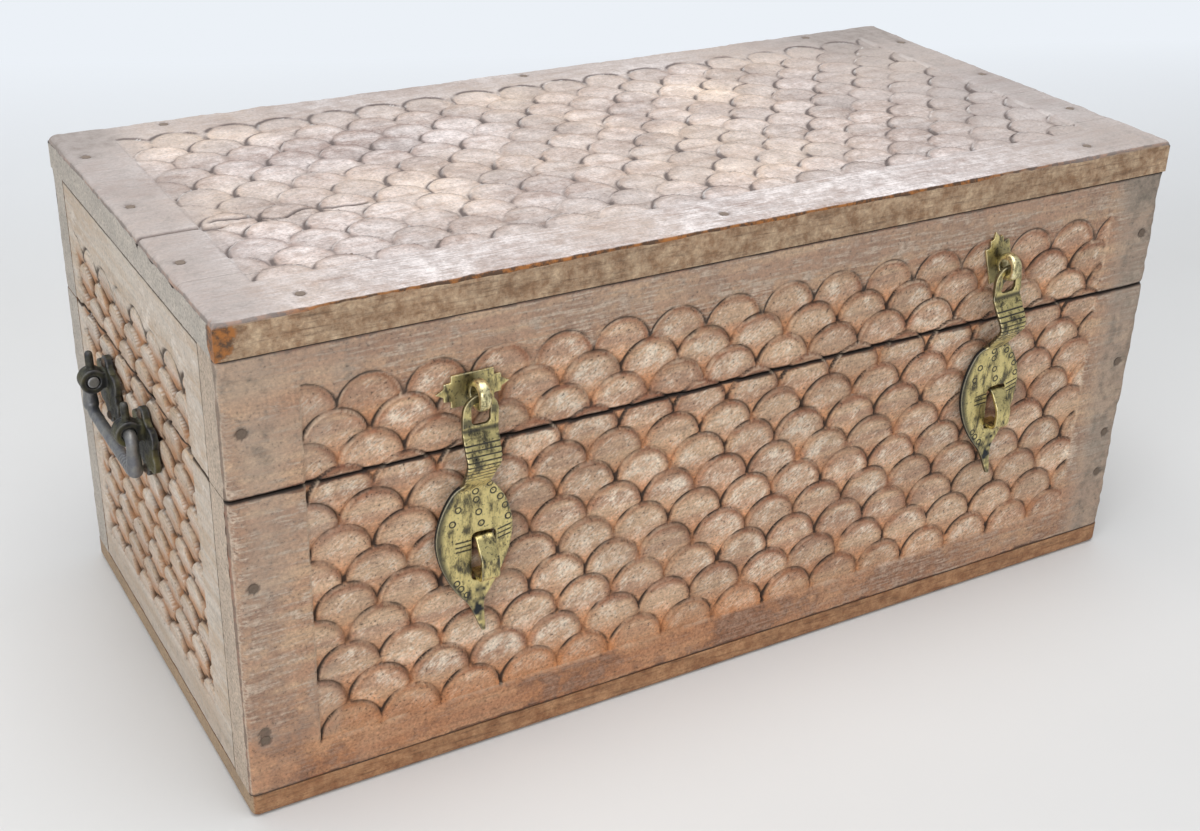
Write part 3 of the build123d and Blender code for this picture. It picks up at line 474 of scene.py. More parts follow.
def board(
    name, box, view, rounds, wear, carving=None, nails=(), step=1.0, dirty=(0, 0, 0, 0), worn=1.4,
):
    """A board as a closed mesh, with its outer face worked and its other faces sawn flat.
    view is its outer face: the axis that runs right, the axis that runs up and the axis that
    points out, each with its sign. Left, right, lower and upper edge each have their wear in
    millimetres in rounds and their share of dirt in dirty. nails are the places of its nails,
    and wear changes the relief and adds the traits of the whole face. step is the grid of the
    mesh and worn how far bare wood reaches in from an edge, both in millimetres."""
    (right, right_sign), (up, up_sign), (out, out_sign) = view
    low, high = np.array(box[0]) / mm, np.array(box[1]) / mm
    u_ends = sorted((low[right] * right_sign, high[right] * right_sign))
    v_ends = sorted((low[up] * up_sign, high[up] * up_sign))
    w_face = high[out] if out_sign > 0 else -low[out]
    thick = high[out] - low[out]
    wide = [edge_spread * r for r in rounds]
    u_lines = grid_lines(*u_ends, step, wide[0], wide[1])
    v_lines = grid_lines(*v_ends, step, wide[2], wide[3])
    u, v = np.meshgrid(u_lines, v_lines, indexing="ij")
    to_edge = [u - u_ends[0], u_ends[1] - u, v - v_ends[0], v_ends[1] - v]
    traits = {"line": np.zeros(u.shape)}
    relief = 0.12 * smooth_noise(u, v, 14.0, 5) + 0.05 * smooth_noise(u, v, 4.0, 6)
    if carving:
        found = scales(u, v, carving)
        left, end, foot = carving["field"]
        off_u, off_v = found["rim_u"] - u, found["rim_v"] - v
        clear = np.min(to_edge, axis=0) > max(wide) + 0.6 * step
        onto = clear & (np.hypot(off_u, off_v) < snap_reach * step)
        onto &= (u > left) & (u < end) & (v > foot)
        u, v = np.where(onto, u + off_u, u), np.where(onto, v + off_v, v)
        relief, traits = carve(u, v, carving)
    change, looks = wear(u, v)
    relief += change
    line = np.maximum(traits["line"], looks.get("line", 0))
    traits.update({**looks, "line": line})

    # Hollows for the nails, then dirt, rounding and bare wood along each edge
    for nail_u, nail_v in nails:
        away = np.hypot(u - nail_u, v - nail_v)
        dent = 1 - np.clip((away - nail_hollow) / nail_slope, 0, 1)
        relief = np.minimum(relief, relief * (1 - dent) - nail_sink * dent)
        traits["line"] = np.maximum(traits["line"], 0.45 * (away < nail_dirt))
        traits["grime"] = traits["grime"] + 0.12 * np.exp(-((away / nail_stain) ** 2))
    edge = np.zeros(u.shape)
    for side, distance in enumerate(to_edge):
        soil = 1.1 + 0.3 * smooth_noise(u + v, u - v, 11.0, 60 + side)
        soil = dirty[side] * soil * np.exp(-((distance / joint_dirt_reach) ** 2))
        traits["line"] = np.maximum(traits["line"], soil)
        if rounds[side] <= 0:
            continue
        along = v if side < 2 else u
        ragged = smooth_noise(along, 0 * along + 31 * side, 13.0, 40 + side)
        ragged += 0.5 * smooth_noise(along, 0 * along + 31 * side, 3.5, 50 + side)
        r = rounds[side] * (1.05 + 0.45 * ragged)
        inward = np.clip(r - distance, 0, r)
        relief -= r - np.sqrt(np.maximum(r * r - inward * inward, 0))
        reach = worn if side >= 2 else min(worn, side_edge_reach)
        edge = np.maximum(edge, np.clip(1.1 + 0.3 * ragged - distance / reach, 0, 1))
    traits["edge"] = edge
    relief = np.clip(relief, -0.7 * thick, 0)

    # The worked face, then its outline again at the shoulder and at the back
    points = np.zeros((u.size, 3))
    points[:, right] = u.ravel() * right_sign
    points[:, up] = v.ravel() * up_sign
    points[:, out] = (w_face + relief.ravel()) * out_sign
    rows, columns = u.shape
    index = np.arange(rows * columns).reshape(rows, columns)
    quads = np.stack((index[:-1, :-1], index[1:, :-1], index[1:, 1:], index[:-1, 1:]), axis=-1)
    quads = quads.reshape(-1, 4).tolist()
    rim = np.concatenate((index[:, 0], index[-1, 1:], index[-2::-1, -1], index[0, -2:0:-1]))
    first, count = len(points), len(rim)
    shoulder, back = points[rim].copy(), points[rim].copy()
    shoulder[:, out] = (w_face - 0.5 * max(worn, 0.1) - max(rounds)) * out_sign
    back[:, out] = (w_face - thick) * out_sign
    rings = [
        rim.tolist(),
        list(range(first, first + count)),
        list(range(first + count, first + 2 * count)),
    ]
    walls = [
        (upper[i], lower[i], lower[(i + 1) % count], upper[(i + 1) % count])
        for upper, lower in zip(rings, rings[1:]) for i in range(count)
    ]
    faces = quads + walls + [tuple(reversed(rings[2]))]
    handed = np.linalg.det(
        [[sign if axis == way else 0 for axis in range(3)] for way, sign in view]
    )
    if handed < 0:
        faces = [tuple(reversed(face)) for face in faces]
    mesh = bpy.data.meshes.new(name)
    mesh.from_pydata((np.concatenate((points, shoulder, back)) * mm).tolist(), [], faces)
    smooth = np.zeros(len(faces), dtype=bool)
    smooth[:len(quads)] = True
    mesh.polygons.foreach_set("use_smooth", smooth)
    for key, values in traits.items():
        layer = mesh.attributes.new(key, "FLOAT", "POINT")
        full = np.concatenate((np.broadcast_to(values, u.shape).ravel(), np.zeros(2 * count)))
        layer.data.foreach_set("value", full.astype(np.float32))
    layer = mesh.attributes.new("inner", "FLOAT", "POINT")
    full = np.concatenate((np.zeros(first + count), np.ones(count)))
    layer.data.foreach_set("value", full.astype(np.float32))
    mesh.update()
    piece = bpy.data.objects.new(name, mesh)
    bpy.context.scene.collection.objects.link(piece)
    return piece


def finish(piece, material, body, node_name):
    """Dresses a worked piece and lets it stand for its CAD node."""
    piece.data.materials.clear()
    piece.data.materials.append(material)
    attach(piece, body)
    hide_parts(node_name)


nail_spacing = 6            # no two nails of a face are as near as this, in mm


def nail_places(group, right, right_sign, up, keep):
    """Middles of a group's nails in millimetres on a face, from the points that keep picks."""
    mesh = nodes[group].data
    spots = np.array([v.co[:] for v in mesh.vertices]) / mm
    spots = spots[[keep(*spot) for spot in spots]]
    flat = spots[:, [right, up]] * (right_sign, 1)
    places = []
    for place in flat:
        if all(np.hypot(*(place - other)) > nail_spacing for other in places):
            places.append(place)
    heads = [flat[np.hypot(*(flat - place).T) < nail_spacing] for place in places]
    return [tuple((head.min(0) + head.max(0)) / 2) for head in heads]


front_view = ((0, 1), (2, 1), (1, -1))
front_carving = {
    # the rows, in mm: where the first scale and the top row stand, and how high the rows are
    "seed": 11, "rows": 12, "pitch": 26.8, "loose": 1.0, "first": -198.2, "head": 186.0,
    "row_height": 11.8, "row_growth": 0.27, "field": (-198.5, 198.5, 27.0),
    # the relief, in mm: flat land at the head of a scale, depth of its slope, dish and groove
    "land": 1.0, "cut": 1.4, "scoop": 1.15, "dish": 0.4, "groove": 0.6, "rough": 0.09,
    # the knife lines: their width at a crown and inside a rim, how they open in a pocket, and how
    # dark they are, with painted shade that darkens them in the pocket
    "fine": 0.6, "inside": 0.45, "crevice": 0.9, "spread": 2.0, "even": 0.7, "deep": 0.6,
    # where the finish lies: width of the red band, share that is bare, and the heights over which
    # the painted highlight inside the rims grows
    "rim": 3.0, "bare": (0.3, 0.8), "lime_and_highlight": (135.0, 150.0),
}
front_tones = {
    "red": "#b48566", "body": "#cfa884", "dark": "#2b1f17", "vein": 0.35,
    "slant": 36, "stroke": (0.9, 4.5), "grit": 0.34,
    "pale": "#dccdb9", "lime_from": 1.14, "lime_to": 1.3, "film": 0.22,
    "flat_lime": 0.95, "margin_lime": 0.55, "lime_and_highlight": "#dcc3a8",
    "rim": "#7d4c35", "rim_share": 0.95, "foot": "#cf9063", "foot_from": 0.82, "foot_share": 0.8,
    "warm": "#c07f4e", "margin": "#7d5238", "margin_share": 0.95,
    "side": "#a8937f", "side_pale": "#c3b3a2", "side_dark": "#8a7867", "end": "#cbb8a4",
    "back": "#a27c59", "edge": "#8f5434", "edge_dark": "#54382a", "edge_share": 0.8,
    "scuff": nowhere,
    "grime": "#4c483f", "ash": "#aa9c8d", "speck": 0.75, "dirt": 0.95,
}


def front_wear(u, v):
    """The front is grey with grime at its margins and bare and orange along its foot. u runs
    to the right from its middle and v up from the floor, in millimetres."""
    grime = 0.38 * ramp(u, 196, 214) + 0.15 * ramp(v, 182, 190) + 0.1 * ramp(-u, 200, 215)
    grime += 0.09 * ramp(-u, 165, 185) * ramp(v, 148, 158)
    grime += 0.15 * ramp(smooth_noise(u, v, 19.0, 94), 0.1, 0.6) * ramp(-u, 170, 190)
    warm = 0.75 * ramp(50 - v, 0, 26) * ramp(-u, -160, 60) + 0.35 * ramp(50 - v, 0, 26)
    warm += 0.3 * ramp(-u, 150, 180) * (ramp(v, 150, 170) + ramp(70 - v, 0, 30))
    return 0 * u, {"grime": grime, "warm": np.clip(warm, 0, 1)}


front_wood = weathered_wood("limed_carved_hardwood_front", front_tones, grain=0, outward=1)
front_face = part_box("front_board")[0][1] / mm
front_nails = nail_places("wall_nails", 0, 1, 2, lambda x, y, z: y < front_face + 2)
front_board = board(
    "front_board_carved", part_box("front_board"), front_view, (3.0, 3.0, 0.8, 1.1),
    front_wear, front_carving, front_nails, step=0.8, dirty=(0, 0, 1, 1), worn=2.4,
)
finish(front_board, front_wood, "box", "front_board")

# ---------------------------------------------------------------- end boards
# The two end walls, let in between the long walls. The same scales are cut deeper here, and
# bare orange wood shows in the pockets between their pale flats.
# Their knife lines open wide and dark in the pockets: dirt in the cut, with painted shade
left_view = ((1, -1), (2, 1), (0, -1))
right_view = ((1, 1), (2, 1), (0, 1))
left_carving = {
    "seed": 23, "rows": 12, "pitch": 22.9, "loose": 1.2, "first": -84.0, "head": 181.0,
    "row_height": 11.8, "row_growth": 0.27, "field": (-84.3, 71.0, 27.0),
    "land": 1.0, "cut": 3.0, "scoop": 1.9, "dish": 0.35, "groove": 0.9, "rough": 0.12,
    "fine": 0.6, "inside": 0.5, "crevice": 3.4, "spread": 1.0, "even": 0.8, "deep": 0.9,
    "rim": 2.2, "bare": (0.15, 0.5), "lime_and_highlight": (20.0, 60.0),
}
right_carving = {**left_carving, "seed": 29, "first": -70.7, "field": (-71.0, 84.3, 27.0)}
end_tones = {
    "red": "#cdb294", "body": "#e0d3c3", "dark": "#3a2511", "vein": 0.35,
    "slant": -38, "stroke": (1.3, 9.0), "grit": 0.2,
    "pale": "#dad2c8", "lime_from": 1.08, "lime_to": 1.35, "film": 0.15,
    "flat_lime": 0.95, "margin_lime": 0.8, "lime_and_highlight": "#ebe5dd",
    "rim": "#bb8f62", "rim_share": 0.35, "foot": "#b06f2e", "foot_from": 0.55, "foot_share": 0.95,
    "warm": "#b98a60", "margin": "#a3876b", "margin_share": 0.5,
    "side": "#a99078", "side_pale": "#c3b3a1", "side_dark": "#75604c", "end": "#cdc5bb",
    "back": "#a27c59", "edge": "#8d7661", "edge_dark": "#5a4636", "edge_share": 0.5,
    "scuff": nowhere,
    "grime": "#6b5e50", "ash": "#b8ada0", "speck": 0.65, "dirt": 0.9,
}


def end_wear(u, v):
    """The ends carry a little grime everywhere, and more towards the foot."""
    return 0 * u, {"grime": 0.12 + 0.2 * ramp(40 - v, 0, 28), "warm": 0.25 * ramp(60 - v, 0, 45)}


end_wood = weathered_wood("limed_carved_hardwood_ends", end_tones, grain=1, outward=0)
ends = (("left", left_view, left_carving), ("right", right_view, right_carving))
for name, view, carving in ends:
    node_name = f"{name}_end_board"
    piece = board(
        f"{name}_end_board_carved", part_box(node_name), view, (0.6, 0.6, 0.8, 1.1), end_wear,
        carving, step=0.9, dirty=(1, 1, 1, 1),
    )
    finish(piece, end_wood, "box", node_name)

# ---------------------------------------------------------------- back board
# The back wall is one plain board, planed by hand and left without carving or lime.
back_view = ((0, -1), (2, 1), (1, 1))
back_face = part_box("back_board")[1][1] / mm


plane_pitch = 16.0
plane_depth = 0.12


def planed_wear(u, v):
    """Shallow hollows left by the plane, and some grime low down."""
    sway = 0.6 * smooth_noise(u, v, 60.0, 71)
    hollows = plane_depth * np.abs(np.sin(pi * v / plane_pitch + sway))
    return -hollows, {"grime": 0.15 + 0.3 * ramp(50 - v, 0, 40), "warm": 0 * u}


back_wood = weathered_wood(
    "planed_hardwood_back", {**oiled_tones, "margin_lime": 0.35, "end": "#c6bdb1"},
    grain=0, outward=1,
)
back_nails = nail_places("wall_nails", 0, -1, 2, lambda x, y, z: y > back_face - 2)
back_board = board(
    "back_board_planed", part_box("back_board"), back_view, (3.0, 3.0, 0.8, 1.1), planed_wear,
    None, back_nails, step=2.5, dirty=(0, 0, 1, 1),
)
finish(back_board, back_wood, "box", "back_board")

# ---------------------------------------------------------------- wall and bottom nails
# Wrought nails with flat heads, punched a little below the wood and brown with old rust.


iron_grit = 0.9 * mm


def forged_iron(name, tones, roughness, lump_size):
    """Wrought or cast iron under old patina: lumpy, with rust or bloom in its hollows, and
    paler on the edges, where hands and hammers have rubbed it. lump_size is in millimetres."""
    tree, shader, material = new_material(name)
    where = add(tree, "TexCoord", {}, 3)
    lump = add(tree, "TexNoise", {
        "Vector": where, "Scale": 1 / (lump_size * mm), "Detail": 6.0, "Roughness": 0.62,
    })
    grit = add(tree, "TexNoise", {"Vector": where, "Scale": 1 / iron_grit, "Detail": 3.0})
    share = add(tree, "MapRange", {"Value": lump, 1: 0.42, 2: 0.6})
    colour = add(tree, "Mix", {
        "data_type": "RGBA", 0: share, 6: tones["dark"], 7: tones["bloom"],
    }, 2)
    mark = add(tree, "Attribute", {"attribute_name": "mark"}, 2)
    colour = add(tree, "Mix", {"data_type": "RGBA", 0: mark, 6: colour, 7: tones["mark"]}, 2)
    pointed = add(tree, "NewGeometry", {}, 7)
    rubbed = add(tree, "MapRange", {"Value": pointed, 1: 0.51, 2: 0.6, 4: 0.8})
    colour = add(tree, "Mix", {"data_type": "RGBA", 0: rubbed, 6: colour, 7: tones["bright"]}, 2)
    tree.links.new(colour, shader.inputs["Base Color"])
    rough = add(tree, "MapRange", {"Value": grit, 1: 0.3, 2: 0.7, 3: roughness, 4: roughness + 0.25})
    tree.links.new(rough, shader.inputs["Roughness"])
    shader.inputs["Metallic"].default_value = 0.7
    height = add(tree, "Math", {"operation": "MULTIPLY_ADD", 0: lump, 1: 2.0, 2: grit})
    bump = add(tree, "Bump", {"Height": height, "Strength": 0.5, "Distance": 0.3 * mm})
    tree.links.new(bump, shader.inputs["Normal"])
    return material


nail_iron = forged_iron(
    "rusted_wrought_iron",
    {"dark": "#41372f", "bloom": "#6b5c50", "mark": "#2c221b", "bright": "#8a7a6c"}, 0.6, 3.0,
)
for node_name in ("wall_nails", "bottom_nails"):
    dress(node_name, nail_iron)

# ---------------------------------------------------------------- lid rails
# Four rails nailed into a frame carry the top. The scales run up over them from the walls,
# so that the carving is cut through by the seam between box and lid.
front_rail_nails = nail_places("lid_corner_nails", 0, 1, 2, lambda x, y, z: y < front_face + 2)
front_rail = board(
    "lid_front_rail_carved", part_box("lid_front_rail"), front_view, (3.0, 3.0, 1.2, 0.5),
    front_wear, front_carving, front_rail_nails, step=0.8, dirty=(0, 0, 1, 0.9), worn=2.0,
)
finish(front_rail, front_wood, "lid", "lid_front_rail")
for name, view, carving in ends:
    node_name = f"lid_{name}_rail"
    piece = board(
        f"lid_{name}_rail_carved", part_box(node_name), view, (0.6, 0.6, 1.2, 0.5), end_wear,
        carving, step=0.9, dirty=(1, 1, 1, 0.9),
    )
    finish(piece, end_wood, "lid", node_name)
back_rail_nails = nail_places("lid_corner_nails", 0, -1, 2, lambda x, y, z: y > back_face - 2)
back_rail = board(
    "lid_back_rail_planed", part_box("lid_back_rail"), back_view, (3.0, 3.0, 1.2, 0.5),
    planed_wear, None, back_rail_nails, step=2.5, dirty=(0, 0, 1, 0.9),
)
finish(back_rail, back_wood, "lid", "lid_back_rail")
dress("lid_corner_nails", nail_iron)

# ---------------------------------------------------------------- top planks
# Three planks side by side make the top, nailed down round their edge. Their scales are
# shallow and worn, whitish with lime, and point to the back. Old lime packs the joints
# between the planks, and one joint has opened as a crack at the left end.
top_view = ((0, 1), (1, 1), (2, 1))
top_carving = {
    "seed": 37, "rows": 12, "pitch": 24.2, "loose": 1.4, "first": -203.0, "head": 92.0,
    "row_height": 14.8, "row_growth": 0.0, "field": (-203.3, 204.7, -82.6),
    "land": 1.0, "cut": 1.4, "scoop": 1.1, "dish": 0.5, "groove": 0.45, "rough": 0.13,
    "fine": 0.7, "inside": 1.1, "crevice": 0.7, "spread": 2.0, "even": 1.15, "deep": -0.3,
    "rim": 2.6, "bare": (0.45, 1.0), "lime_and_highlight": (-110.0, -100.0),
}
top_tones = {
    "red": "#b39d94", "body": "#c6b8b3", "dark": "#675b57", "vein": 0.25,
    "slant": -12, "stroke": (1.1, 3.5), "grit": 0.22,
    "pale": "#e9e2e0", "lime_from": 1.0, "lime_to": 1.3, "film": 0.0,
    "flat_lime": 0.6, "margin_lime": 0.9, "lime_and_highlight": "#f4f0ee",
    "rim": "#907d76", "rim_share": 0.8, "foot": "#a99c98", "foot_from": 0.85, "foot_share": 0.55,
    "warm": "#dfc8b2", "margin": "#a1928c", "margin_share": 0.45,
    "side": "#9b7757", "side_pale": "#c4aa8c", "side_dark": "#5f4938", "end": "#c9c0b4",
    "back": "#a27c59", "edge": "#a9692c", "edge_dark": "#4b3220", "edge_share": 0.95,
    "scuff": tuple(np.array(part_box("top_front_strip")[0]) + (0, 0, 8 * mm)),
    "grime": "#857a71", "ash": "#aca39f", "speck": 0.3, "dirt": 0.95,
}
crack_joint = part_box("top_middle_plank")[1][1] / mm
crack_end = -198.0          # where the crack runs out and the pits begin, from the middle
pits_end = 128.0            # how far left of the middle the last pit lies
crack_width = 1.0
crack_depth = 2.6
pit_width = 0.9
pit_depth = 1.5


def top_wear(u, v):
    """The crack at the left end, the pits that carry it on, and grime round both ends."""
    off_joint = np.abs(v - crack_joint - 0.5 * smooth_noise(u, 0 * u, 9.0, 81))
    crack = np.exp(-((off_joint / crack_width) ** 2)) * ramp(-u, -crack_end - 6, -crack_end)
    jagged = np.abs(v - crack_joint - 3 - 5 * smooth_noise(u, 0 * u, 12.0, 82))
    pits = np.exp(-((jagged / pit_width) ** 2)) * ramp(smooth_noise(u, v, 8.0, 83), -0.1, 0.3)
    pits *= ramp(-u, pits_end, pits_end + 12) * ramp(u, crack_end - 4, crack_end + 4)
    grime = 0.35 * ramp(u, 100, 215) + 0.35 * ramp(-u, 185, 215) + 0.2 * ramp(v, 60, 105)
    warm = 0.35 + 0.5 * smooth_noise(u, v, 45.0, 84)
    looks = {
        "grime": grime + 0.5 * pits,
        "warm": np.clip(warm, 0, 1),
        "line": np.maximum(1.5 * crack, 1.3 * pits),
    }
    return -crack_depth * crack - pit_depth * pits, looks


top_wood = weathered_wood("limed_carved_hardwood_top", top_tones, grain=0, outward=2)
top_rounds = {
    "top_front_strip": (2.0, 2.0, 1.4, 0),
    "top_middle_plank": (2.5, 2.5, 0, 0),
    "top_back_plank": (2.5, 2.5, 0, 2.5),
}
total_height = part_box("top_front_strip")[1][2] / mm
top_nails = nail_places("top_nails", 0, 1, 1, lambda x, y, z: z > total_height - 2)
packing = 0.15 * mm
for node_name, rounds in top_rounds.items():
    low, high = (list(corner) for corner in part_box(node_name))
    low[1] -= packing if rounds[2] == 0 else 0
    high[1] += packing if rounds[3] == 0 else 0
    piece = board(
        f"{node_name}_carved", (low, high), top_view, rounds, top_wear, top_carving, top_nails,
        worn=0.9,
    )
    finish(piece, top_wood, "lid", node_name)
limed_iron = forged_iron(
    "limed_over_wrought_iron",
    {"dark": "#6d5f53", "bloom": "#8b7a6b", "mark": "#4c4037", "bright": "#9d8f83"}, 0.75, 3.0,
)
dress("top_nails", limed_iron)

# ---------------------------------------------------------------- hinges
# Two iron butt hinges on the back, cut from sheet, with rolled knuckles and a plain pin.
dark_iron = forged_iron(
    "blackened_iron",
    {"dark": "#2f2f2f", "bloom": "#4d4c3e", "mark": "#6c6640", "bright": "#85858a"}, 0.42, 4.0,
)
for name in ("left", "right"):
    for node_name in (f"hinge_box_leaf_{name}", f"hinge_lid_leaf_{name}", f"hinge_pin_{name}"):
        dress(node_name, dark_iron)
for node_name in ("hinge_box_nails", "hinge_lid_nails"):
    dress(node_name, nail_iron)

# ---------------------------------------------------------------- hasps, rings and staples
# Cast and beaten brass, gone dull, with slate-dark smears and bright metal where hands rub
# it. The necks of the hasps are filed across, and their leaves are stamped with small rings
# and scribed with lines.


smear_width = 4 * mm
smear_length = 10 * mm
freckle_size = 1.1 * mm


def aged_brass(name, tones, roughness):
    """Old beaten brass: dull yellow-brown patina, slate-black in its marks and in long smears down
    its length, and bright on its edges. The marks of the hasps also hold painted shade."""
    tree, shader, material = new_material(name)
    where = add(tree, "TexCoord", {}, 3)
    run = (1 / smear_width, 1 / smear_width, 1 / smear_length)
    drawn = add(tree, "Mapping", {"Vector": where, "Scale": run})
    cloud = add(tree, "TexNoise", {"Vector": drawn, "Scale": 1.0, "Detail": 8.0, "Roughness": 0.7})
    fine = add(tree, "TexNoise", {"Vector": where, "Scale": 1 / freckle_size, "Detail": 5.0})
    share = add(tree, "MapRange", {"Value": cloud, 1: 0.36, 2: 0.56})
    colour = add(tree, "Mix", {
        "data_type": "RGBA", 0: share, 6: tones["dull"], 7: tones["bright"],
    }, 2)
    smear = add(tree, "MapRange", {"Value": cloud, 1: 0.49, 2: 0.39, 4: 0.75})
    freckle = add(tree, "MapRange", {"Value": fine, 1: 0.42, 2: 0.34, 4: 0.65})
    # The mark attribute: tarnish and worked marks, and on the hasps also painted shade
    mark = add(tree, "Attribute", {"attribute_name": "mark"}, 2)
    stain = add(tree, "Math", {"operation": "MULTIPLY_ADD", 0: cloud, 1: 0.7, 2: mark})
    stain = add(tree, "MapRange", {"Value": stain, 1: 0.5, 2: 1.0})
    for share in (smear, freckle, stain):
        colour = add(tree, "Mix", {"data_type": "RGBA", 0: share, 6: colour, 7: tones["dark"]}, 2)
    pointed = add(tree, "NewGeometry", {}, 7)
    rubbed = add(tree, "MapRange", {"Value": pointed, 1: 0.52, 2: 0.6, 4: 0.8})
    colour = add(tree, "Mix", {"data_type": "RGBA", 0: rubbed, 6: colour, 7: tones["rubbed"]}, 2)
    tree.links.new(colour, shader.inputs["Base Color"])
    shader.inputs["Metallic"].default_value = 1.0
    rough = add(tree, "MapRange", {"Value": fine, 1: 0.3, 2: 0.7, 3: roughness, 4: roughness + 0.2})
    rough = add(tree, "Math", {"operation": "MULTIPLY_ADD", 0: stain, 1: 0.2, 2: rough})
    tree.links.new(rough, shader.inputs["Roughness"])
    bump = add(tree, "Bump", {"Height": fine, "Strength": 0.4, "Distance": 0.15 * mm})
    tree.links.new(bump, shader.inputs["Normal"])
    return material


def rework(node_name, cell, soften, work):
    """A worked copy of a CAD piece on an even mesh, cell millimetres fine. work takes its
    points and normals in millimetres and gives how far each point moves out along its normal
    and how deep it is marked, from 0 to 1."""
    piece = bpy.data.objects.new(f"{node_name}_worked", nodes[node_name].data.copy())
    bpy.context.scene.collection.objects.link(piece)
    even = piece.modifiers.new("even_mesh", "REMESH")
    even.mode = "VOXEL"
    even.voxel_size = cell * mm
    soft = piece.modifiers.new("softened_edges", "SMOOTH")
    soft.factor = 0.5
    soft.iterations = soften
    bpy.context.view_layer.update()
    graph = bpy.context.evaluated_depsgraph_get()
    mesh = bpy.data.meshes.new_from_object(piece.evaluated_get(graph))
    piece.modifiers.clear()
    piece.data = mesh
    count = len(mesh.vertices)
    points = np.zeros(count * 3)
    mesh.vertices.foreach_get("co", points)
    points = points.reshape(count, 3) / mm
    normals = np.zeros(count * 3)
    mesh.vertex_normals.foreach_get("vector", normals)
    normals = normals.reshape(count, 3)
    push, mark = work(points, normals)
    low, high = np.array(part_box(node_name)) / mm
    points = np.clip(points + normals * push[:, None], low, high)
    mesh.vertices.foreach_set("co", (points * mm).ravel())
    mesh.polygons.foreach_set("use_smooth", np.ones(len(mesh.polygons), dtype=bool))
    layer = mesh.attributes.new("mark", "FLOAT", "POINT")
    layer.data.foreach_set("value", mark.astype(np.float32))
    mesh.update()
    return piece


def lumps(points, size, seed):
    """Soft lumps all over a piece, from -1 to 1."""
    x, y, z = points.T
    seen_from_front = smooth_noise(x + 0.3 * y, z, size, seed)
    seen_from_side = smooth_noise(y, z - 0.4 * x, size, seed + 1)
    return (seen_from_front + seen_from_side) / 2


brass = aged_brass(
    "aged_beaten_brass",
    {"bright": "#e2d294", "dull": "#9c8d5f", "dark": "#3c3f42", "rubbed": "#fbf2cf"}, 0.27,
)
ring_brass = aged_brass(
    "polished_brass",
    {"bright": "#f4eaba", "dull": "#d6c892", "dark": "#3a382f", "rubbed": "#fdf8dc"}, 0.28,
)
# The lean of each hasp in degrees, and how far down from its ring it was worked, in mm
hasp_lean = {"left": -0.8, "right": 2.7}
ring_below_top = 0.5        # the ring's centre under the top of the hasp's eye
crease_down = 14.0
crease_depth = 0.38
first_groove_down = 19.5
groove_pitch = 2.1
groove_count = 8
leaf_start_down = 40.0
leaf_end_down = 96.0
slot_down = 73.5
# Small rings stamped down the middle of the leaf, near its edges and over its tail, each
# with its place across and down, and three lines scribed on each side of the slot
stamp_radius = 1.25
stamp_depth = 0.2
scribe_count = 3
scribe_pitch = 2.1
stamps = (
    (0.1, 43.5), (0.5, 47.4), (1.6, 53.2), (2.8, 58.5), (-7.3, 50.4), (-9.8, 56.2),
    (6.1, 41.0), (7.9, 45.0), (11.0, 48.4), (13.2, 52.9), (14.7, 58.3),
    (-7.8, 84.1), (-6.0, 87.0), (-3.3, 90.5),
)


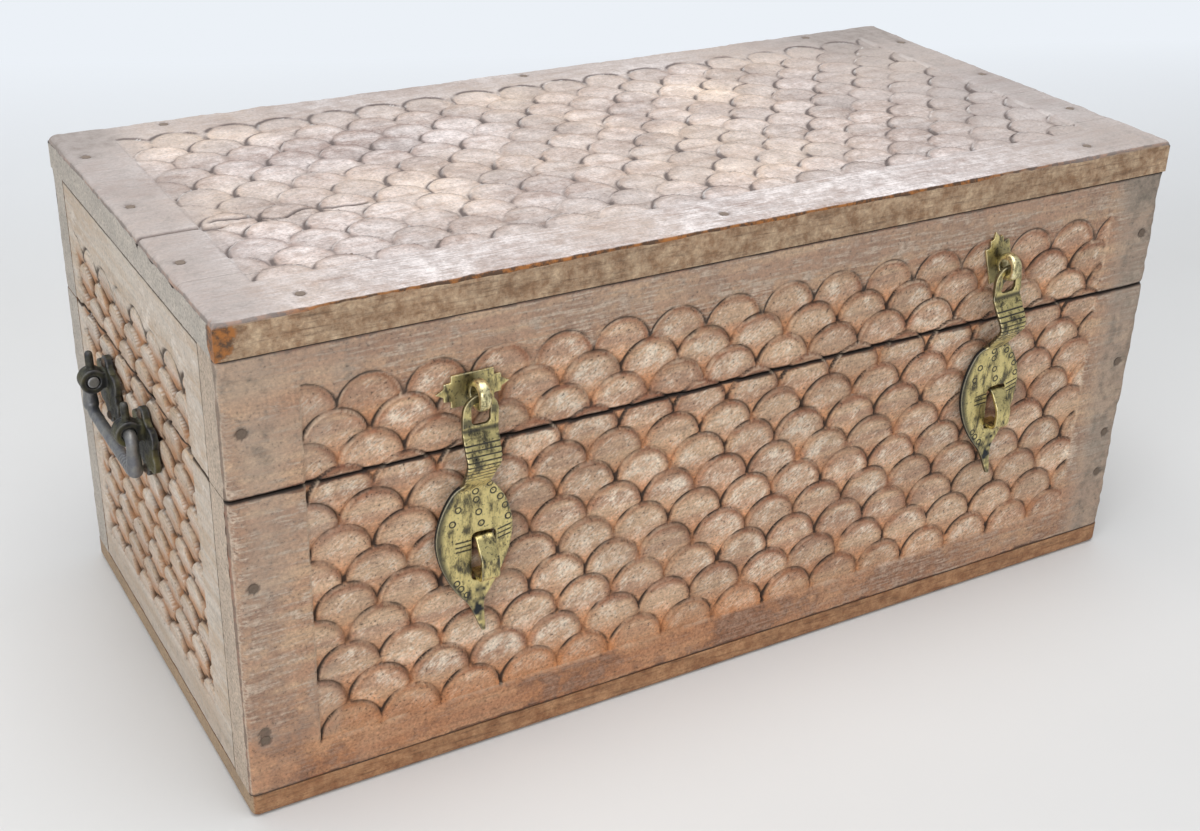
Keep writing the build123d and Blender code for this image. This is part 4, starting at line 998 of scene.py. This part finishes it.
def hasp_work(side):
    """The maker's marks, tarnish and painted shade on one hasp, in its own frame: across it, and
    down from its ring.
    """
    ring_x = np.array(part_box(f"hasp_ring_{side}")).mean(axis=0)[0] / mm
    ring_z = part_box(f"hasp_{side}")[1][2] / mm - ring_below_top
    lean = radians(hasp_lean[side])

    def work(points, normals):
        off_x, off_z = points[:, 0] - ring_x, points[:, 2] - ring_z
        across = off_x * cos(lean) + off_z * sin(lean)
        down = off_x * sin(lean) - off_z * cos(lean)
        outward = ramp(-normals[:, 1], 0.1, 0.6)
        rows = np.arange(leaf_start_down, leaf_end_down, 2.0)
        bands = [across[np.abs(down - row) < 1.5] for row in rows]
        left_edge = np.interp(down, rows, [band.min() for band in bands])
        right_edge = np.interp(down, rows, [band.max() for band in bands])

        # A crease under the eye, a broken second one, and grooves that get finer downwards
        mark = np.exp(-(((down - crease_down) / 1.3) ** 2))
        second = 0.7 * np.exp(-(((down - crease_down - 3) / 0.8) ** 2))
        mark = np.maximum(mark, second * (lumps(points, 3.0, 95) > 0))
        first = first_groove_down - 0.5 * groove_pitch
        last = first_groove_down + groove_count * groove_pitch
        filed = (down > first) & (down < last)
        wave = 0.5 + 0.5 * np.cos(2 * pi * (down - first_groove_down) / groove_pitch)
        sharp = 2.2 + 0.12 * np.clip(down - first_groove_down, 0, 20)
        mark = np.maximum(mark, 0.8 * filed * wave ** sharp)
        push = -crease_depth * mark * ramp(np.abs(normals[:, 1]), 0.0, 0.3)

        # Tarnish round the creases and up in the eye
        mark = mark * np.where(down < first, 0.55, 0.85)
        smudge = ramp(lumps(points, 3.5, 95), -0.1, 0.5) * ramp(crease_down + 9 - down, 0, 3)
        mark = np.maximum(mark, 0.5 * smudge * ramp(down, crease_down, crease_down + 2))
        in_eye = 0.5 * ramp(crease_down - down, 0, 2) * ramp(lumps(points, 4.0, 97), -0.3, 0.4)
        mark = np.maximum(mark, in_eye)

        # The stamped rings, the scribed lines, and small notches along the rim of the leaf
        for stamp_across, stamp_down in stamps:
            reach = np.hypot(across - stamp_across, down - stamp_down)
            ring = np.exp(-(((reach - stamp_radius) / 0.32) ** 2)) * outward
            mark = np.maximum(mark, 0.8 * ring)
            push -= stamp_depth * ring
        beside = (across < -1.5) & (across > -8.5) | (across > 9.8) & (across < right_edge - 0.8)
        for line in range(scribe_count):
            slant = down - (slot_down - 8.0 + scribe_pitch * line) + 0.22 * across * (across > 0)
            scratch = np.exp(-((slant / 0.34) ** 2)) * beside * outward
            mark = np.maximum(mark, 0.8 * scratch)
            push -= stamp_depth * scratch
        on_leaf = (down > leaf_start_down) & (down < leaf_end_down)
        at_rim = np.exp(-((np.minimum(across - left_edge, right_edge - across) / 1.1) ** 2))
        notches = at_rim * (0.5 + 0.5 * np.sin(2 * pi * down / 1.7)) * on_leaf * outward
        mark = np.maximum(mark, 0.55 * notches)

        # Tarnish on the tail, painted shade down the left side of the leaf and on the faces turned
        # away from the front, and the marks of the hammer
        tail = ramp(down, 84, 90) * (0.5 + 0.5 * smooth_noise(across, down, 1.6, 91)) * outward
        mark = np.maximum(mark, 0.8 * tail * (np.abs(across - 1.5) < 5))
        shaded = 0.55 * ramp(left_edge + 5 - across, 0, 4) * on_leaf
        shaded += 0.5 * (1 - outward)
        push += 0.16 * lumps(points, 6.0, 92) + 0.06 * lumps(points, 2.2, 94)
        return push, np.maximum(mark, shaded)

    return work


darker_middle_reach = 12


def worn_work(depth, size, darker_middle=0.0):
    """Plain wear: shallow lumps, some tarnish on what faces the box, and a darker middle."""

    def work(points, normals):
        push = depth * lumps(points, size, 96)
        middle = (points.max(axis=0) + points.min(axis=0)) / 2
        reach = np.hypot(points[:, 0] - middle[0], points[:, 2] - middle[2])
        mark = 0.45 * ramp(normals[:, 1], -0.2, 0.6) + 0.25 * ramp(lumps(points, 3.0, 98), 0.2, 0.8)
        ragged = darker_middle_reach + 3 * lumps(points, 4.0, 99)
        return push, np.maximum(mark, darker_middle * ramp(ragged - reach, 0, 6))

    return work


for side in ("left", "right"):
    piece = rework(f"hasp_{side}", 0.34, 3, hasp_work(side))
    finish(piece, brass, f"hasp_{side}", f"hasp_{side}")
    piece = rework(f"hasp_ring_{side}", 0.35, 2, worn_work(0.1, 3.5))
    finish(piece, ring_brass, "lid", f"hasp_ring_{side}")
    piece = rework(f"hasp_plate_{side}", 0.3, 3, worn_work(0.14, 4.0, darker_middle=0.36))
    finish(piece, brass, "lid", f"hasp_plate_{side}")
    piece = rework(f"staple_{side}", 0.35, 2, worn_work(0.14, 3.5))
    finish(piece, brass, "box", f"staple_{side}")

# ---------------------------------------------------------------- end handles
# Two cast iron brackets on each end, black with a green-yellow bloom, and a forged bail that
# is hooked into both. Hands have worn the bail grey, and rings are cut round it near a corner.
rings_start = -13.0         # along the depth of the box, in mm
rings_end = 0.0
rings_pitch = 2.4
rings_depth = 0.3


def bail_work(points, normals):
    """Hammer marks, and rings cut round the grip near its front corner."""
    low = points[:, 2] < points[:, 2].min() + 6
    y = points[:, 1]
    span = ramp(y, rings_start, rings_start + 2) * ramp(-y, -rings_end, 2 - rings_end)
    rings = (0.5 + 0.5 * np.cos(2 * pi * y / rings_pitch)) * span * low
    return 0.14 * lumps(points, 5.0, 101) - rings_depth * rings, 0 * rings


def bracket_work(points, normals):
    """Rough cast faces, with bloom on the plate that faces out."""
    push = 0.22 * lumps(points, 4.5, 103) + 0.08 * lumps(points, 1.8, 105)
    return push, 0.8 * ramp(lumps(points, 7.0, 107), -0.1, 0.5)


worn_iron = forged_iron(
    "hand_worn_iron",
    {"dark": "#6e6f73", "bloom": "#858480", "mark": "#424345", "bright": "#bcbcc1"}, 0.34, 6.0,
)
for side in ("left", "right"):
    piece = rework(f"handle_{side}", 0.45, 2, bail_work)
    finish(piece, worn_iron, f"handle_{side}", f"handle_{side}")
    for place in ("front", "rear"):
        node_name = f"handle_bracket_{side}_{place}"
        piece = rework(node_name, 0.45, 2, bracket_work)
        finish(piece, dark_iron, "box", node_name)
dress("handle_nails", nail_iron)

# ---------------------------------------------------------------- studio
# A pale floor that turns up into a pale backdrop, soft light from above and in front, and
# the camera. Seen directly or mirrored in the metal, the backdrop is a clear bluish white.
# All sizes here are in metres.
sweep_turn_y = 0.9
sweep_turn_radius = 0.6
sweep_half_width = 12.0
profile = [(-4.0, 0.0), (0.3, 0.0), (0.6, 0.0), (sweep_turn_y, 0.0)]
profile += [
    (
        sweep_turn_y + sweep_turn_radius * sin(radians(turn)),
        sweep_turn_radius * (1 - cos(radians(turn))),
    )
    for turn in range(6, 91, 6)
]
profile.append((sweep_turn_y + sweep_turn_radius, 4.0))
floor_mesh = bpy.data.meshes.new("studio_sweep")
floor_mesh.from_pydata(
    [(x, y, z) for y, z in profile for x in (-sweep_half_width, sweep_half_width)],
    [],
    [(2 * i, 2 * i + 1, 2 * i + 3, 2 * i + 2) for i in range(len(profile) - 1)],
)
floor_mesh.polygons.foreach_set("use_smooth", np.ones(len(floor_mesh.polygons), dtype=bool))
floor = bpy.data.objects.new("studio_sweep", floor_mesh)
bpy.context.scene.collection.objects.link(floor)
tree, shader, paper = new_material("pale_painted_board")
where = add(tree, "TexCoord", {}, 3)
cloud = add(tree, "TexNoise", {"Vector": where, "Scale": 3.0, "Detail": 4.0})
colour = add(tree, "Mix", {"data_type": "RGBA", 0: cloud, 6: "#d8d8d7", 7: "#e3e3e2"}, 2)
tree.links.new(colour, shader.inputs["Base Color"])
shader.inputs["Roughness"].default_value = 0.6
glow = add(tree, "Emission", {"Color": "#ecf1f7", "Strength": 1.0})
depth = add(tree, "SeparateXYZ", {0: where}, 1)
across = add(tree, "SeparateXYZ", {0: where}, 0)
far = add(tree, "Math", {"operation": "MULTIPLY_ADD", 0: across, 1: 0.35, 2: depth})
far = add(tree, "MapRange", {"Value": far, 1: 0.35, 2: 0.95})
ray = tree.nodes.new("ShaderNodeLightPath")
seen = ray.outputs["Is Camera Ray"]
for kind in ("Is Glossy Ray", "Is Transmission Ray"):
    seen = add(tree, "Math", {"operation": "MAXIMUM", 0: seen, 1: ray.outputs[kind]})
far = add(tree, "Math", {"operation": "MULTIPLY", 0: far, 1: seen})
surface = add(tree, "MixShader", {0: far, 1: shader.outputs[0], 2: glow})
tree.links.new(surface, tree.nodes["Material Output"].inputs["Surface"])
floor_mesh.materials.append(paper)


def area_lamp(name, place, aim, size, power):
    """A soft square lamp that points at a place."""
    lamp = bpy.data.lights.new(name, "AREA")
    lamp.size = size
    lamp.energy = power
    holder = bpy.data.objects.new(name, lamp)
    holder.location = place
    holder.rotation_euler = (Vector(aim) - Vector(place)).to_track_quat("-Z", "Y").to_euler()
    bpy.context.scene.collection.objects.link(holder)


box_middle = (0, 0, 0.1)
area_lamp("soft_top_lamp", (-0.1, -0.2, 1.8), box_middle, 1.3, 20)
area_lamp("soft_front_lamp", (-1.55, -1.35, 0.9), box_middle, 1.2, 17)

world = bpy.data.worlds.new("pale_room")
world.use_nodes = True
bpy.context.scene.world = world
background = world.node_tree.nodes["Background"]
background.inputs["Color"].default_value = linear("#f0f3f8")
background.inputs["Strength"].default_value = 0.52

camera_data = bpy.data.cameras.new("camera")
camera_data.sensor_width = 36.0
camera_data.lens = 50.8
camera = bpy.data.objects.new("camera", camera_data)
camera.location = (-0.38107, -0.62763, 0.46044)
camera.rotation_euler = (radians(62.2958), radians(-1.6176), radians(-29.9251))
bpy.context.scene.collection.objects.link(camera)
bpy.context.scene.camera = camera
bpy.context.scene.view_settings.view_transform = "Standard"
